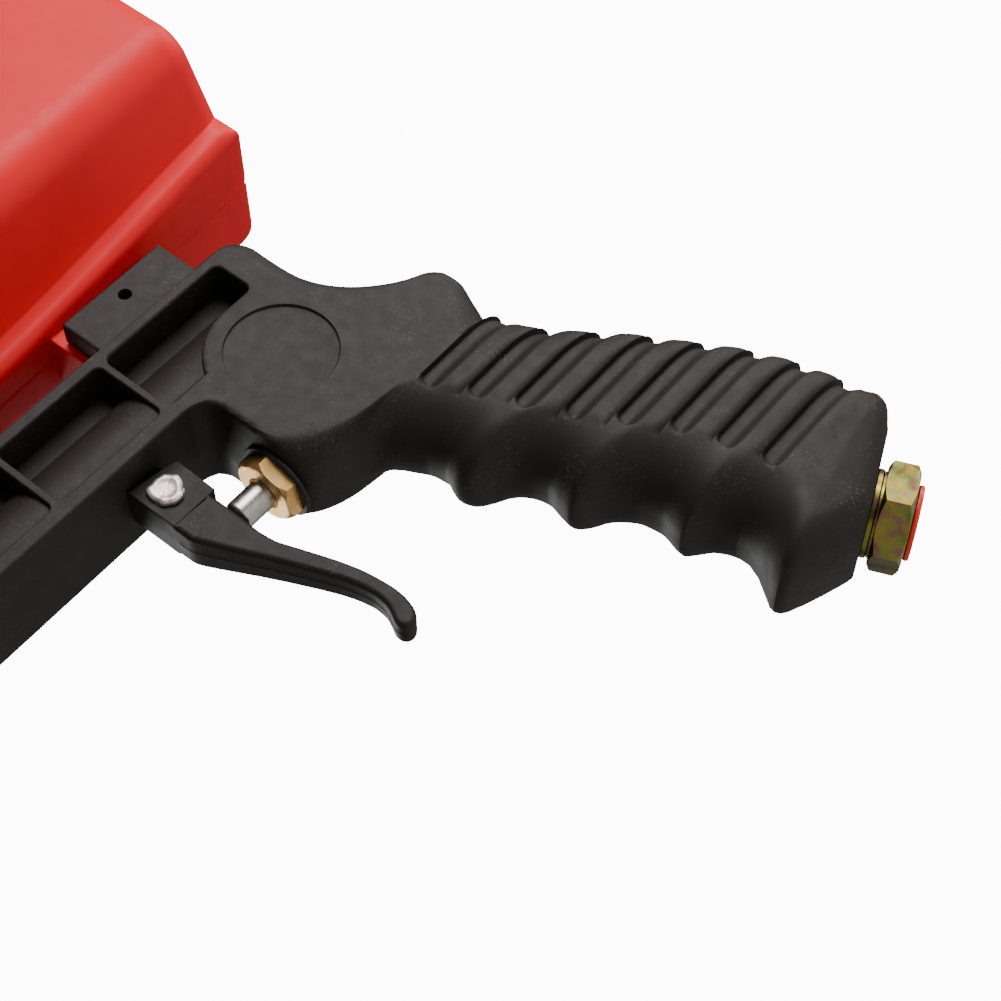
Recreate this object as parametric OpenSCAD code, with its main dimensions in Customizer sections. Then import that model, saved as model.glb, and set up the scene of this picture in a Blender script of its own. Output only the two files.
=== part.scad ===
// Hand-held gravity-feed sandblasting gun: moulded pistol-grip body with a ribbed
// barrel beam, lever trigger, poppet air valve, hopper on top and ceramic nozzle.
// Lengths are in millimetres.  +X points to the rear, +Z up, the muzzle faces -X.
// The part's origin is the centre of the air inlet's open end.  The design values
// below are measured from the centre of the round badge recess on the head.

/* [Barrel beam] */
// Width of the beam and head across the gun
body_w = 24; // [21:0.5:28]
// Height of the beam's lower face above the badge centre
beam_lo = 4; // [2:0.5:5]
// Height of the beam's upper face above the badge centre
beam_hi = 27.2; // [25:0.2:32]
// Reach of the beam's front face ahead of the badge centre
beam_front = 108; // [104:1:130]
// Thickness of the beam's upper flange
flange_top = 3; // [2:0.2:4]
// Thickness of the beam's lower flange
flange_low = 3.5; // [2.5:0.2:4.5]
// Thickness of the central web between the side pockets
web_t = 8.4; // [6:0.2:10]
// Distance from one stiffening rib to the next
rib_pitch = 28; // [22:1:32]
// Thickness of a stiffening rib
rib_t = 2; // [1.4:0.2:3]
// Outer radius of the moulded barrel inside the beam
barrel_r = 11; // [10:0.2:11.6]
// Height of that barrel moulding's axis above the badge centre
bulge_z = 9.5; // [8.5:0.5:10.5]
// Height of the bore's axis above the badge centre
barrel_z = 12.5; // [12:0.5:13]
// Radius of the barrel's bore
bore_r = 6; // [5:0.1:6.2]

/* [Head] */
// Radius of the round badge recess
badge_r = 11.2; // [8:0.2:12]
// Depth of the badge recess
badge_depth = 0.6; // [0.3:0.1:1.2]
// Radius of the raised disc around the badge
ring_r = 15.1; // [13.5:0.2:16]
// Length of the hopper ears along the barrel
ear_len = 26.5; // [20:0.5:30]
// Height of the hopper ears above the beam
ear_h = 9.8; // [8:0.2:12]
// Thickness of each hopper ear
ear_t = 5.7; // [4:0.1:6.5]
// Rear end of the ears behind the badge centre
ear_back = 4.3; // [2:0.1:5]
// Radius of the pin hole in the ears
ear_hole_r = 1.4; // [1.1:0.1:1.8]

/* [Grip] */
// Rake of the grip and of the air inlet from the vertical
rake = 23; // [20:0.5:27]
// Half width of the grip at its butt
grip_half = 13.6; // [12.5:0.2:15]
// Rearward reach of the back of the grip at its middle, outside a straight back
back_bulge = 4.7; // [3:0.1:6]
// Number of ridges on the back of the grip
ridge_n = 8; // [5:1:8]
// Distance from one ridge to the next
ridge_pitch = 8.7; // [7.5:0.1:8.8]
// Depth of the grooves between the ridges
ridge_depth = 1.2; // [0.6:0.1:1.6]

/* [Air inlet] */
// Width across flats of the inlet hexagon
inlet_af = 19; // [17:0.5:20]
// Height of the inlet hexagon
inlet_hex_h = 5.5; // [4.5:0.5:9]
// Wall radius of the inlet thread, the minor radius of G 1/4
inlet_r = 5.72; // [4.3:0.01:7.5]
// Depth of the inlet thread
inlet_depth = 14; // [10:1:18]
// Radius of the fitting's shank in the butt
shank_r = 7.6; // [6.6:0.1:8.2]
// Length of the shank in the butt
shank_len = 16; // [12:1:20]

/* [Valve] */
// Depth of the valve axis below the badge centre
valve_drop = 13.5; // [12.5:0.5:14.5]
// Radius of the valve chamber
chamber_r = 6.5; // [6:0.1:7]
// Radius of the valve stem
stem_r = 3.1; // [2.5:0.1:3.4]
// Width across flats of the brass bonnet
bonnet_af = 14; // [13.6:0.2:15]
// Travel of the valve stem
valve_travel = 3.2; // [2.6:0.1:3.4]

/* [Trigger] */
// Height of the trigger pivot above the badge centre (negative is below)
pivot_z = -2; // [-3:0.1:-1.6]
// Radius of the trigger rivet
rivet_r = 2; // [1.6:0.1:2.2]
// Width of the trigger blade
blade_w = 7.2; // [6:0.2:9]
// Width over the trigger's two cheeks
yoke_w = 9.8; // [9:0.2:12]
// Thickness of the body's pivot lug
lug_w = 4.8; // [4:0.2:5.2]

/* [Hopper] */
// Wall of the hopper shells
hopper_wall = 2.2; // [1.6:0.1:2.8]
// Half width of the hopper bin
bin_half = 35.5; // [32:0.5:40]
// Height of the hopper's flat top above the badge centre
bin_top = 104; // [95:1:120]
// Front of the hopper ahead of the badge centre
bin_front = 97; // [94:1:108]
// Rear of the hopper behind the badge centre
bin_back = 34.6; // [31:0.5:38]
// Height of the feed channel's underside at its rear end
keel_z = 42.4; // [41:0.1:44]
// Fall of the feed channel towards the muzzle, in degrees
keel_fall = 2.1; // [1:0.1:3]
// Inner radius of the filler neck
filler_r = 18; // [14:0.5:20]
// Height of the filler cap
cap_h = 14; // [11:0.5:18]

/* [Nozzle] */
// Bore radius of the ceramic nozzle
nozzle_bore_r = 3; // [1.5:0.25:3.5]
// Outer radius of the ceramic nozzle
nozzle_r = 5; // [4.6:0.1:5.6]
// Length of the ceramic nozzle
nozzle_len = 46; // [36:1:60]
// Outer radius of the nozzle nut
nut_r = 13.5; // [12.6:0.1:14.5]

/* [Fits] */
// Radial clearance of a running fit
run_gap = 0.06; // [0.03:0.01:0.1]
// Gap between two pieces that are assembled and stay put
fit_gap = 0.1; // [0.05:0.05:0.2]
// Gap between two pieces that move past each other
free_gap = 0.35; // [0.3:0.05:0.5]

/* [Hidden] */

BLACK = "#3a3633";
RED = "#c8201c";
BRASS = "#c79a4a";
STEEL = "#b8b8b8";
ZINC = "#c9b45a";
RUBBER = "#161616";
CERAMIC = "#ece6d8";

half_w = body_w / 2;
eps = 0.01;
arc_step = 12;               // degrees from one point of an arc to the next

// Axis of the grip, from the head towards the butt
axis_dx = sin(rake);
axis_dz = -cos(rake);
// Centre of the butt's flat end, where the inlet fitting seats
seat_x = 47.5;
seat_z = -104.2;
washer_t = 1.3;
washer_r = 8.6;
neck_t = 1.1;
inlet_stack = washer_t + neck_t + inlet_hex_h;
origin_x = seat_x + inlet_stack * axis_dx;
origin_z = seat_z + inlet_stack * axis_dz;

// Moves a piece from the badge centre's frame into the part's frame
module place() { translate([-origin_x, 0, -origin_z]) children(); }
// A cylinder along X from x0 to x1 at height z
module xcyl(x0, x1, r, z, r2 = undef, fn = 48) {
    translate([x0, 0, z]) rotate([0, 90, 0])
        cylinder(h = x1 - x0, r1 = r, r2 = is_undef(r2) ? r : r2, $fn = fn);
}
// A cylinder along Y between y0 and y1
module ycyl(x, z, y0, y1, r, fn = 32) {
    translate([x, y0, z]) rotate([-90, 0, 0]) cylinder(h = y1 - y0, r = r, $fn = fn);
}
// A slab across the gun from an outline given as [x, z] points
module slab(points, half) {
    translate([0, half, 0]) rotate([90, 0, 0]) linear_extrude(height = 2 * half) polygon(points);
}
// Puts a piece on the inlet axis; its own Z then runs out of the butt
module on_inlet() { translate([seat_x, 0, seat_z]) rotate([0, 180 - rake, 0]) children(); }

// Points of an arc about c, from angle a0 to angle a1
function arc(c, r, a0, a1) = let (n = max(2, ceil(abs(a1 - a0) / arc_step)))
    [for (i = [0:n]) let (a = a0 + (a1 - a0) * i / n) [c[0] + r * cos(a), c[1] + r * sin(a)]];
// Points of a shallow arc from p to q that bows to the right of p->q by s
function bow(p, q, s, n) = let (c = norm(q - p), ux = (q - p) / c, nx = [ux[1], -ux[0]])
    [for (i = [0:n]) let (t = i / n) p + (q - p) * t + nx * s * 4 * t * (1 - t)];

// ---- Gun body ----------------------------------------------------------------
ridge_top = -24.3;                       // height of the first groove
front_x = -beam_front;
spigot_len = 13;                         // threaded nose for the nozzle nut
spigot_r = 10;
window_x = -17;                          // front face of the valve boss
boss_low = -22.6;                        // underside of the valve boss
boss_corner = 4.6;
shoulder = [12.2, beam_hi - 4.6];        // centre of the head's rear top corner
shoulder_r = 4.7;
saddle_top = [16.7, 20];
saddle_end = [32.6, -7.9];
saddle_bow = 4.3;
slab_low = -12;                          // below this height the body is rounded all over
pivot_x = -34.4;
feed_x = -84;                            // hopper outlet above the mixing chamber
feed_r = 8.2;
first_rib = -24;
pocket_back = 7.5;                       // rear end of the first side pocket
pocket_tail = 15.6;                      // underside of the pocket's slot behind the ring
chamber_back = 17;
riser_x = -5.4;
riser_r = 2.8;
passage_r = 3.4;
lug_r = 4.2;
ear_front = ear_back - ear_len;
ear_hole = [-9.1, beam_hi + 5.6];
ear_in = half_w - ear_t;

// Crests between the finger hollows, from the valve boss to the butt
crest = [[-10, boss_low], [2.3, -42.7], [11.3, -60.5], [19.4, -80], [20.6, -103]];
hollow = [7.2, 4.6, 4.6, 6.2];           // depth of each finger hollow
back_top = [37.6, -27.6];
back_end = [68, -91];
grip_lo = -114;                          // the loft runs past the butt's flat end
blend_end = -31;                         // the grip has its full roundness below this height

// Side outline of the beam and head, down to where the rounded part takes over
function head_outline() = concat(
    [[front_x, beam_lo]],
    arc([window_x - boss_corner, beam_lo - boss_corner], boss_corner, 90, 0),
    [[window_x, slab_low], [36.2, slab_low], [35.6, -9.9], [34.3, -8.6]],
    bow(saddle_end, saddle_top, -saddle_bow, 8),
    arc(shoulder, shoulder_r, 0, 100), [[ear_back, beam_hi], [front_x, beam_hi]]);

// A straight run between two heights, held level outside them
function ramp(z, z0, z1, v0, v1) = z >= z0 ? v0 : z <= z1 ? v1 : v0 + (v1 - v0) * (z0 - z) / (z0 - z1);
// Front edge of the grip at height z: valve boss, then one shallow arc for each finger hollow
function span_of(z) = z > crest[1][1] ? 0 : z > crest[2][1] ? 1 : z > crest[3][1] ? 2 : 3;
function dip(p, q, s, z) = let (t = (z - p[1]) / (q[1] - p[1]))
    p[0] + (q[0] - p[0]) * t + s * 4 * t * (1 - t);
function butt_nose(z) = let (d = max(0, crest[4][1] + 2 - z)) crest[4][0] + d * d / 12;
function boss_nose(z) = let (d = max(0, boss_low + boss_corner - z))
    boss_corner - sqrt(max(0, boss_corner ^ 2 - d ^ 2));
function grip_front(z) = z >= crest[0][1] ? window_x + boss_nose(z) : z < crest[4][1] ? butt_nose(z)
    : let (i = span_of(z)) dip(crest[i], crest[i + 1], hollow[i], z);
// Back edge of the grip at height z
function grip_back(z) = let (t = (z - back_top[1]) / (back_end[1] - back_top[1]))
    t < 0 ? ramp(z, -14, -24, 36.2, 33.6) + max(0, -24 - z)
    : back_top[0] + (back_end[0] - back_top[0]) * t + back_bulge * 4 * t * max(0, 1 - t);
function grip_w(z) = ramp(z, slab_low, -70, half_w, grip_half);
// Groove depth at height z: steep under each ridge, then a slow rise to the next
function groove_at(z) = let (u = (ridge_top - z) / ridge_pitch, k = floor(u), t = (u - k) * ridge_pitch)
    u < 0 || k >= ridge_n ? 0 : t < 1.8 ? ridge_depth : t < 3.6 ? ridge_depth * (3.6 - t) / 1.8 : 0;
function groove_front(z) = 10.8 + (ridge_top - z) * 0.42;
ring_q = 8;                              // steps round each corner of a section
ring_n = 4 * (ring_q + 1);
// Section of the grip at height z: a rectangle with rounded corners, longer ones on the grip
function grip_ring(z) = let (f = grip_front(z), b = grip_back(z), w = grip_w(z), d = b - f,
    fx = min(0.5 * d, ramp(z, slab_low, blend_end, 1.2, 15)), fy = ramp(z, slab_low, blend_end, 1.2, 12.4),
    bx = min(0.5 * d, ramp(z, slab_low - 4, blend_end, 3, 14)),
    by = ramp(z, slab_low - 4, blend_end, 3, 11.5),
    g = groove_at(z), gx = groove_front(z) + 3)
    [for (c = [[b - bx, w - by, bx, by, 0], [f + fx, w - fy, fx, fy, 90], [f + fx, fy - w, fx, fy, 180],
        [b - bx, by - w, bx, by, 270]], i = [0:ring_q])
        let (th = c[4] + 90 * i / ring_q, px = c[0] + c[2] * cos(th), k = px > gx ? g : 0)
        [px - k * cos(th), c[1] + c[3] * sin(th) - k * sin(th), z]];
groove_steps = [for (k = [0:ridge_n - 1], d = [-0.15, 0.15, 1.8, 3.6]) ridge_top - k * ridge_pitch - d];
grip_levels = concat([slab_low + 0.1, -14, -16.5, -18.5, -20, -21.2, -22, -22.5, boss_low + 0.02, -23.2],
    groove_steps, [-93.5, -96, -98.5, -101, -103.5, -106, -108, -110, -112, grip_lo]);

module grip_loft() {
    rings = [for (z = grip_levels) grip_ring(z)];
    m = len(grip_levels);
    points = [for (r = rings, p = r) p];
    sides = [for (j = [0:m - 2], i = [0:ring_n - 1]) let (k = (i + 1) % ring_n)
        [j * ring_n + i, j * ring_n + k, (j + 1) * ring_n + k, (j + 1) * ring_n + i]];
    top = [[for (i = [ring_n - 1:-1:0]) i]];
    bottom = [[for (i = [0:ring_n - 1]) (m - 1) * ring_n + i]];
    polyhedron(points, concat(sides, top, bottom), convexity = 6);
}
// One side's pockets: the box between the flanges, left around the barrel and the badge disc
module side_pockets() {
    lo = beam_lo + flange_low;
    hi = beam_hi - flange_top;
    difference() {
        for (k = [0:4]) {
            x1 = k == 0 ? pocket_back : first_rib - (k - 1) * rib_pitch - rib_t / 2;
            x0 = k == 4 ? x1 : max(front_x + 3, first_rib - k * rib_pitch + rib_t / 2);
            if (x1 - x0 > 4) translate([x0, web_t / 2, lo]) cube([x1 - x0, half_w, hi - lo]);
        }
        xcyl(front_x - 5, pocket_back + 5, barrel_r, bulge_z);
        ycyl(0, 0, 0, body_w, ring_r, 64);
        translate([0, 0, lo - 1]) cube([pocket_back + 5, body_w, pocket_tail - lo + 1]);
    }
}
module gun_body() color(BLACK) place() difference() {
    union() {
        difference() {
            slab(head_outline(), half_w);
            side_pockets();
            mirror([0, 1, 0]) side_pockets();
        }
        difference() {
            grip_loft();
            on_inlet() translate([-60, -40, 0]) cube([120, 80, 60]);
        }
        for (s = [0, 1]) mirror([0, s, 0]) translate([ear_front, ear_in, beam_hi - 1])
            cube([ear_len, ear_t, ear_h + 1]);
        // Socket for the hopper's outlet, with its wall carried down to the barrel
        translate([feed_x, 0, barrel_z]) cylinder(h = beam_hi - barrel_z - 0.5, r = feed_r + 3, $fn = 48);
        ycyl(pivot_x, pivot_z, -lug_w / 2, lug_w / 2, lug_r);
        translate([pivot_x - lug_r, -lug_w / 2, pivot_z]) cube([2 * lug_r, lug_w, beam_lo - pivot_z + 1]);
        xcyl(front_x - spigot_len, front_x + 1, spigot_r, barrel_z);
    }
    for (s = [0, 1]) mirror([0, s, 0]) ycyl(0, 0, half_w - badge_depth, half_w + 1, badge_r, 64);
    ycyl(ear_hole[0], ear_hole[1], -half_w - 1, 0, ear_hole_r);
    ycyl(ear_hole[0], ear_hole[1], 0, half_w + 1, ear_hole_r + 0.3);
    ycyl(pivot_x, pivot_z, -lug_w, lug_w, rivet_r + run_gap);
    // Barrel bore, hopper socket, valve chamber, riser and grip passage
    xcyl(front_x - spigot_len - 1, 6, bore_r, barrel_z);
    translate([feed_x, 0, barrel_z]) cylinder(h = 30, r = feed_r, $fn = 48);
    xcyl(window_x - 1, chamber_back, chamber_r, -valve_drop);
    translate([riser_x, 0, -valve_drop]) cylinder(h = valve_drop + barrel_z, r = riser_r, $fn = 24);
    on_inlet() {
        translate([0, 0, -shank_len - 0.5]) cylinder(h = shank_len + 1, r = shank_r + fit_gap, $fn = 48);
        translate([0, 0, -98]) cylinder(h = 98, r = passage_r, $fn = 24);
    }
}

// ---- Air inlet -----------------------------------------------------------------
plug_flange_r = 7.3;
plug_flange_t = 1.1;
plug_len = 8;
module inlet_washer() color(ZINC) place() on_inlet() difference() {
    translate([0, 0, eps]) cylinder(h = washer_t - eps, r = washer_r, $fn = 48);
    translate([0, 0, -1]) cylinder(h = washer_t + 2, r = shank_r + fit_gap, $fn = 48);
}
module air_inlet_fitting() color(ZINC) place() on_inlet() difference() {
    union() {
        translate([0, 0, -shank_len]) cylinder(h = shank_len + washer_t + eps, r = shank_r, $fn = 48);
        translate([0, 0, washer_t + eps]) cylinder(h = neck_t, r = washer_r - 0.2, $fn = 48);
        intersection() {
            translate([0, 0, washer_t + neck_t]) cylinder(h = inlet_hex_h, r = inlet_af / sqrt(3), $fn = 6);
            translate([0, 0, washer_t + neck_t - 6]) cylinder(h = 6 + inlet_hex_h, r1 = inlet_af / 2 + 10,
                r2 = inlet_af / 2 - 0.3, $fn = 64);
            translate([0, 0, washer_t + neck_t]) cylinder(h = 6, r1 = inlet_af / 2 - 0.1,
                r2 = inlet_af / 2 + 10, $fn = 64);
        }
    }
    translate([0, 0, inlet_stack - inlet_depth]) cylinder(h = inlet_depth + 1, r = inlet_r, $fn = 48);
    translate([0, 0, -shank_len - 1]) cylinder(h = shank_len + 10, r = passage_r, $fn = 24);
}
module inlet_plug() color(RED) place() on_inlet() translate([0, 0, inlet_stack]) difference() {
    union() {
        translate([0, 0, free_gap / 2]) cylinder(h = plug_flange_t, r = plug_flange_r, $fn = 48);
        translate([0, 0, -plug_len]) cylinder(h = plug_len + 0.5, r = inlet_r - run_gap, $fn = 48);
    }
    translate([0, 0, -plug_len - 1]) cylinder(h = plug_len, r = inlet_r - 1.4, $fn = 32);
}

// ---- Valve -----------------------------------------------------------------------
seal_t = 0.9;
bonnet_hex_t = 3.2;
bonnet_back = -8.4;
bonnet_front = window_x - seal_t - bonnet_hex_t;
o_ring_r = 0.9;
seat_front = -2.2;
seat_back = 0.8;
seat_bore = 4.3;
poppet_front = seat_back + fit_gap;
poppet_t = 3;
poppet_r = 5.6;
spring_wire = 0.45;
spring_r = 4.4;
spring_turns = 5;
spring_front = poppet_front + poppet_t + spring_wire + 0.05;
spring_back = chamber_back - spring_wire - 0.1;
blade_back = pivot_x + 5;                      // rear face of the trigger at the stem
tip_dome = 6;
stem_front = blade_back + free_gap;
module bonnet_seal_ring() color(RUBBER) place() difference() {
    xcyl(window_x - seal_t, window_x - eps, bonnet_af / 2 + 1.3, -valve_drop);
    xcyl(window_x - seal_t - 1, window_x + 1, chamber_r - fit_gap / 2, -valve_drop);
}
module valve_bonnet() color(BRASS) place() difference() {
    union() {
        intersection() {
            xcyl(bonnet_front, window_x - seal_t, bonnet_af / sqrt(3), -valve_drop, fn = 6);
            xcyl(bonnet_front, window_x - seal_t + 6, bonnet_af / 2 - 0.2, -valve_drop,
                bonnet_af / 2 + 16, fn = 64);
        }
        xcyl(window_x - seal_t - eps, bonnet_back, chamber_r - fit_gap, -valve_drop);
    }
    xcyl(bonnet_front - 1, bonnet_back + 1, stem_r + run_gap, -valve_drop);
    xcyl(-13, -13 + 2 * o_ring_r + 0.2, stem_r + 1.7, -valve_drop);
}
module stem_o_ring() color(RUBBER) place() translate([-12, 0, -valve_drop]) rotate([0, 90, 0])
    rotate_extrude($fn = 48) translate([stem_r + run_gap / 2 + 0.8, 0]) circle(r = 0.75, $fn = 16);
module valve_stem() color(STEEL) place() intersection() {
    union() {
        xcyl(stem_front - 1, bonnet_back - eps, stem_r, -valve_drop);
        xcyl(bonnet_back - eps, poppet_front + poppet_t + 1.2, 1.6, -valve_drop);
        xcyl(poppet_front + poppet_t, poppet_front + poppet_t + 1.2, 3, -valve_drop);
    }
    union() {
        translate([stem_front + tip_dome, 0, -valve_drop]) sphere(r = tip_dome, $fn = 48);
        xcyl(stem_front + tip_dome - 5, chamber_back, tip_dome, -valve_drop);
    }
}
module valve_poppet() color(RUBBER) place() difference() {
    union() {
        xcyl(poppet_front, poppet_front + poppet_t - eps, poppet_r, -valve_drop);
    }
    xcyl(poppet_front - 1, poppet_front + poppet_t + 1, 1.6, -valve_drop);
}
module valve_seat() color(BRASS) place() difference() {
    xcyl(seat_front, seat_back, chamber_r - fit_gap, -valve_drop);
    xcyl(seat_front - 1, seat_back + 1, seat_bore, -valve_drop);
}
// Return spring: a round wire swept along a helix, in flat facets
module valve_spring() color(STEEL) place() {
    sides = 8;
    steps = 14 * spring_turns;
    rings = [for (j = [0:steps])
        let (a = 360 * j / 14, x = spring_front + (spring_back - spring_front) * j / steps)
        [for (i = [0:sides - 1]) let (b = 360 * i / sides, r = spring_r + spring_wire * cos(b))
            [x + spring_wire * sin(b), r * cos(a), -valve_drop + r * sin(a)]]];
    points = [for (r = rings, p = r) p];
    walls = [for (j = [0:steps - 1], i = [0:sides - 1]) let (k = (i + 1) % sides)
        [j * sides + i, j * sides + k, (j + 1) * sides + k, (j + 1) * sides + i]];
    ends = [[for (i = [sides - 1:-1:0]) i], [for (i = [0:sides - 1]) steps * sides + i]];
    polyhedron(points, concat(walls, ends), convexity = 10);
}

// ---- Trigger ---------------------------------------------------------------------
cheek_hi_front = beam_lo - free_gap;
cheek_hi_back = cheek_hi_front - 1.4;
yoke_floor = pivot_z - lug_r - 0.8;
// Side outline of the trigger: cheek plate, then the curved blade and its bulb
function blade_outline() = concat(
    [[pivot_x - 4.8, cheek_hi_front], [pivot_x - 4.8, -9.6]],
    [[-38.4, -13.5]], bow([-36.6, -18], [-27.4, -40], -0.7, 6), bow([-26.5, -44], [-27.4, -51.5], 0.5, 3),
    arc([-27.2, -53.2], 2.1, 150, 340),
    bow([-23.4, -50.5], [-25.2, -37], 0.5, 4), bow([-25.6, -36], [-29.4, -24.5], 0.6, 4),
    [[blade_back, -21], [blade_back, -9.6], [pivot_x + 4.8, -8.6], [pivot_x + 4.8, cheek_hi_back]]);
module trigger() color(BLACK) place() difference() {
    union() {
        slab(blade_outline(), blade_w / 2);
        intersection() {
            slab(blade_outline(), yoke_w / 2);
            translate([pivot_x - 6, -yoke_w, -10.4]) cube([12, 2 * yoke_w, 20]);
        }
    }
    translate([pivot_x - 8, -lug_w / 2 - free_gap, yoke_floor]) cube([16, lug_w + 2 * free_gap, 20]);
    ycyl(pivot_x, pivot_z, -yoke_w, yoke_w, rivet_r + fit_gap / 2);
}
rivet_head_r = 3.4;
rivet_head_t = 1.3;
module trigger_rivet() color(STEEL) place() {
    ycyl(pivot_x, pivot_z, -yoke_w / 2 - 0.5, yoke_w / 2 + 0.5, rivet_r);
    for (s = [0, 1]) mirror([0, s, 0])
        ycyl(pivot_x, pivot_z, yoke_w / 2 + eps, yoke_w / 2 + rivet_head_t, rivet_head_r);
}

// ---- Hopper ----------------------------------------------------------------------
keel_edge = 3.2;                      // corner radius of the feed channel
bin_corner = 10;                     // corner radius of the bin
keel_back_half = 17.4;
keel_mid_half = 8.6;
keel_mid_x = -45;
neck_r = 10;
neck_wall = 3;
shelf = 5.6;                         // height of the channel's side below the bin
bin_rise = 4.5;                      // rise of the bin's floor from the channel to its corners
seal_h = 2;
tongue_half = ear_in - 0.3;
tongue_front = ear_front - 1.3;
function keel_low(x) = keel_z - (bin_back - x) * tan(keel_fall);
// A ball whose lowest point is at height z, for the hulls below
module ball(x, y, z, r) { translate([x, y, z + r]) sphere(r = r, $fn = 24); }
// Outer shape of the hopper, or the inner one when grown inwards by the wall t
module hopper_shape(t) {
    ke = keel_edge - min(t, 2.5);
    be = bin_corner - t;
    hull() for (s = [-1, 1], up = [0, 9]) {
        ball(bin_back - t - ke, s * (keel_back_half - t - ke), keel_low(bin_back) + t + up, ke);
        ball(keel_mid_x, s * (keel_mid_half - t - ke), keel_low(keel_mid_x) + t + up, ke);
    }
    hull() for (s = [-1, 1], up = [0, 9]) {
        ball(keel_mid_x, s * (keel_mid_half - t - ke), keel_low(keel_mid_x) + t + up, ke);
        ball(feed_x - neck_r + t + ke, s * (neck_r - t - ke), keel_low(feed_x) + t + up, ke);
    }
    hull() for (s = [-1, 1]) {
        ball(bin_back - t - 2, s * (keel_back_half - t - 2.6), keel_low(bin_back) + shelf + t, 2);
        ball(-bin_front + t + 8, s * (neck_r - t - 2.6), keel_low(-bin_front) + shelf + t, 2);
        ball(bin_back - t - be, s * (bin_half - t - be), keel_low(bin_back) + shelf + bin_rise + t, be);
        ball(-bin_front + t + be, s * (bin_half - t - be), keel_low(-bin_front) + shelf + bin_rise + t, be);
        translate([0, 0, bin_top - t - 2 * be]) {
            ball(bin_back - t - be, s * (bin_half - t - be), 0, be);
            ball(-bin_front + t + be, s * (bin_half - t - be), 0, be);
        }
    }
}
filler_x = -32;
filler_wall = 2.4;
seat_depth = 6;
module hopper_half(s) color(RED) place() difference() {
    union() {
        hopper_shape(0);
        translate([feed_x, 0, beam_hi + seal_h]) cylinder(h = 16, r = neck_r, $fn = 48);
        translate([feed_x, 0, beam_hi - 8.5]) cylinder(h = 20, r = feed_r - fit_gap, $fn = 48);
        translate([tongue_front, -tongue_half, beam_hi + free_gap]) cube([ear_len, 2 * tongue_half, 16]);
    }
    hopper_shape(hopper_wall);
    translate([feed_x, 0, beam_hi - 10]) cylinder(h = 28, r = feed_r - neck_wall, $fn = 48);
    translate([filler_x, 0, bin_top - 10]) cylinder(h = 20, r = filler_r + filler_wall + fit_gap, $fn = 64);
    ycyl(ear_hole[0], ear_hole[1], -half_w, half_w, ear_hole_r + 0.3);
    translate([-200, s > 0 ? -100 : -eps, -50]) cube([400, 100 + eps, 300]);
}
module hopper_left_shell() hopper_half(-1);
module hopper_right_shell() hopper_half(1);
screw_tip = -half_w + 2.6;
screw_head_r = 3.2;
screw_head_t = 2.2;
module hopper_screw() color(STEEL) place() {
    ycyl(ear_hole[0], ear_hole[1], screw_tip, half_w + 1, ear_hole_r - run_gap);
    ycyl(ear_hole[0], ear_hole[1], half_w + eps, half_w + screw_head_t, screw_head_r);
}
module feed_seal() color(RUBBER) place() difference() {
    translate([feed_x, 0, beam_hi + eps]) cylinder(h = seal_h - 2 * eps, r = neck_r + 0.8, $fn = 48);
    translate([feed_x, 0, beam_hi - 1]) cylinder(h = seal_h + 2, r = feed_r, $fn = 48);
}
rim_h = 9;                            // filler neck above the hopper's top
module filler_neck() color(RED) place() translate([filler_x, 0, bin_top]) difference() {
    union() {
        translate([0, 0, -seat_depth])
            cylinder(h = seat_depth + rim_h, r = filler_r + filler_wall, $fn = 64);
        translate([0, 0, eps]) cylinder(h = 1.6, r = filler_r + filler_wall + 2.4, $fn = 64);
        translate([0, 0, -hopper_wall - 1.6]) cylinder(h = 1.5, r = filler_r + filler_wall + 2.4, $fn = 64);
    }
    translate([0, 0, -seat_depth - 1]) cylinder(h = seat_depth + rim_h + 2, r = filler_r, $fn = 64);
}
cap_wall = 2.2;
cap_in_r = filler_r + filler_wall + free_gap;
cap_out_r = cap_in_r + cap_wall;
cap_floor = 2.4;
gasket_t = 1.4;
cap_low = bin_top + 1.6 + free_gap;
rim_top = bin_top + rim_h;
module cap_gasket() color(RUBBER) place() translate([filler_x, 0, rim_top + free_gap]) difference() {
    cylinder(h = gasket_t, r = cap_in_r - fit_gap, $fn = 64);
    translate([0, 0, -1]) cylinder(h = gasket_t + 2, r = filler_r - 1.5, $fn = 64);
}
module filler_cap() color(BLACK) place() translate([filler_x, 0, 0]) difference() {
    union() {
        translate([0, 0, cap_low]) cylinder(h = cap_h, r = cap_out_r, $fn = 72);
        for (i = [0:23]) rotate([0, 0, i * 15]) translate([cap_out_r - 0.6, -1, cap_low])
            cube([1.8, 2, cap_h - 2]);
    }
    translate([0, 0, cap_low - 1])
        cylinder(h = rim_top + free_gap + gasket_t - cap_low + 1, r = cap_in_r, $fn = 64);
    translate([0, 0, cap_low + cap_h - 1.2]) cylinder(h = 3, r = cap_out_r - 5, $fn = 64);
}

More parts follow.
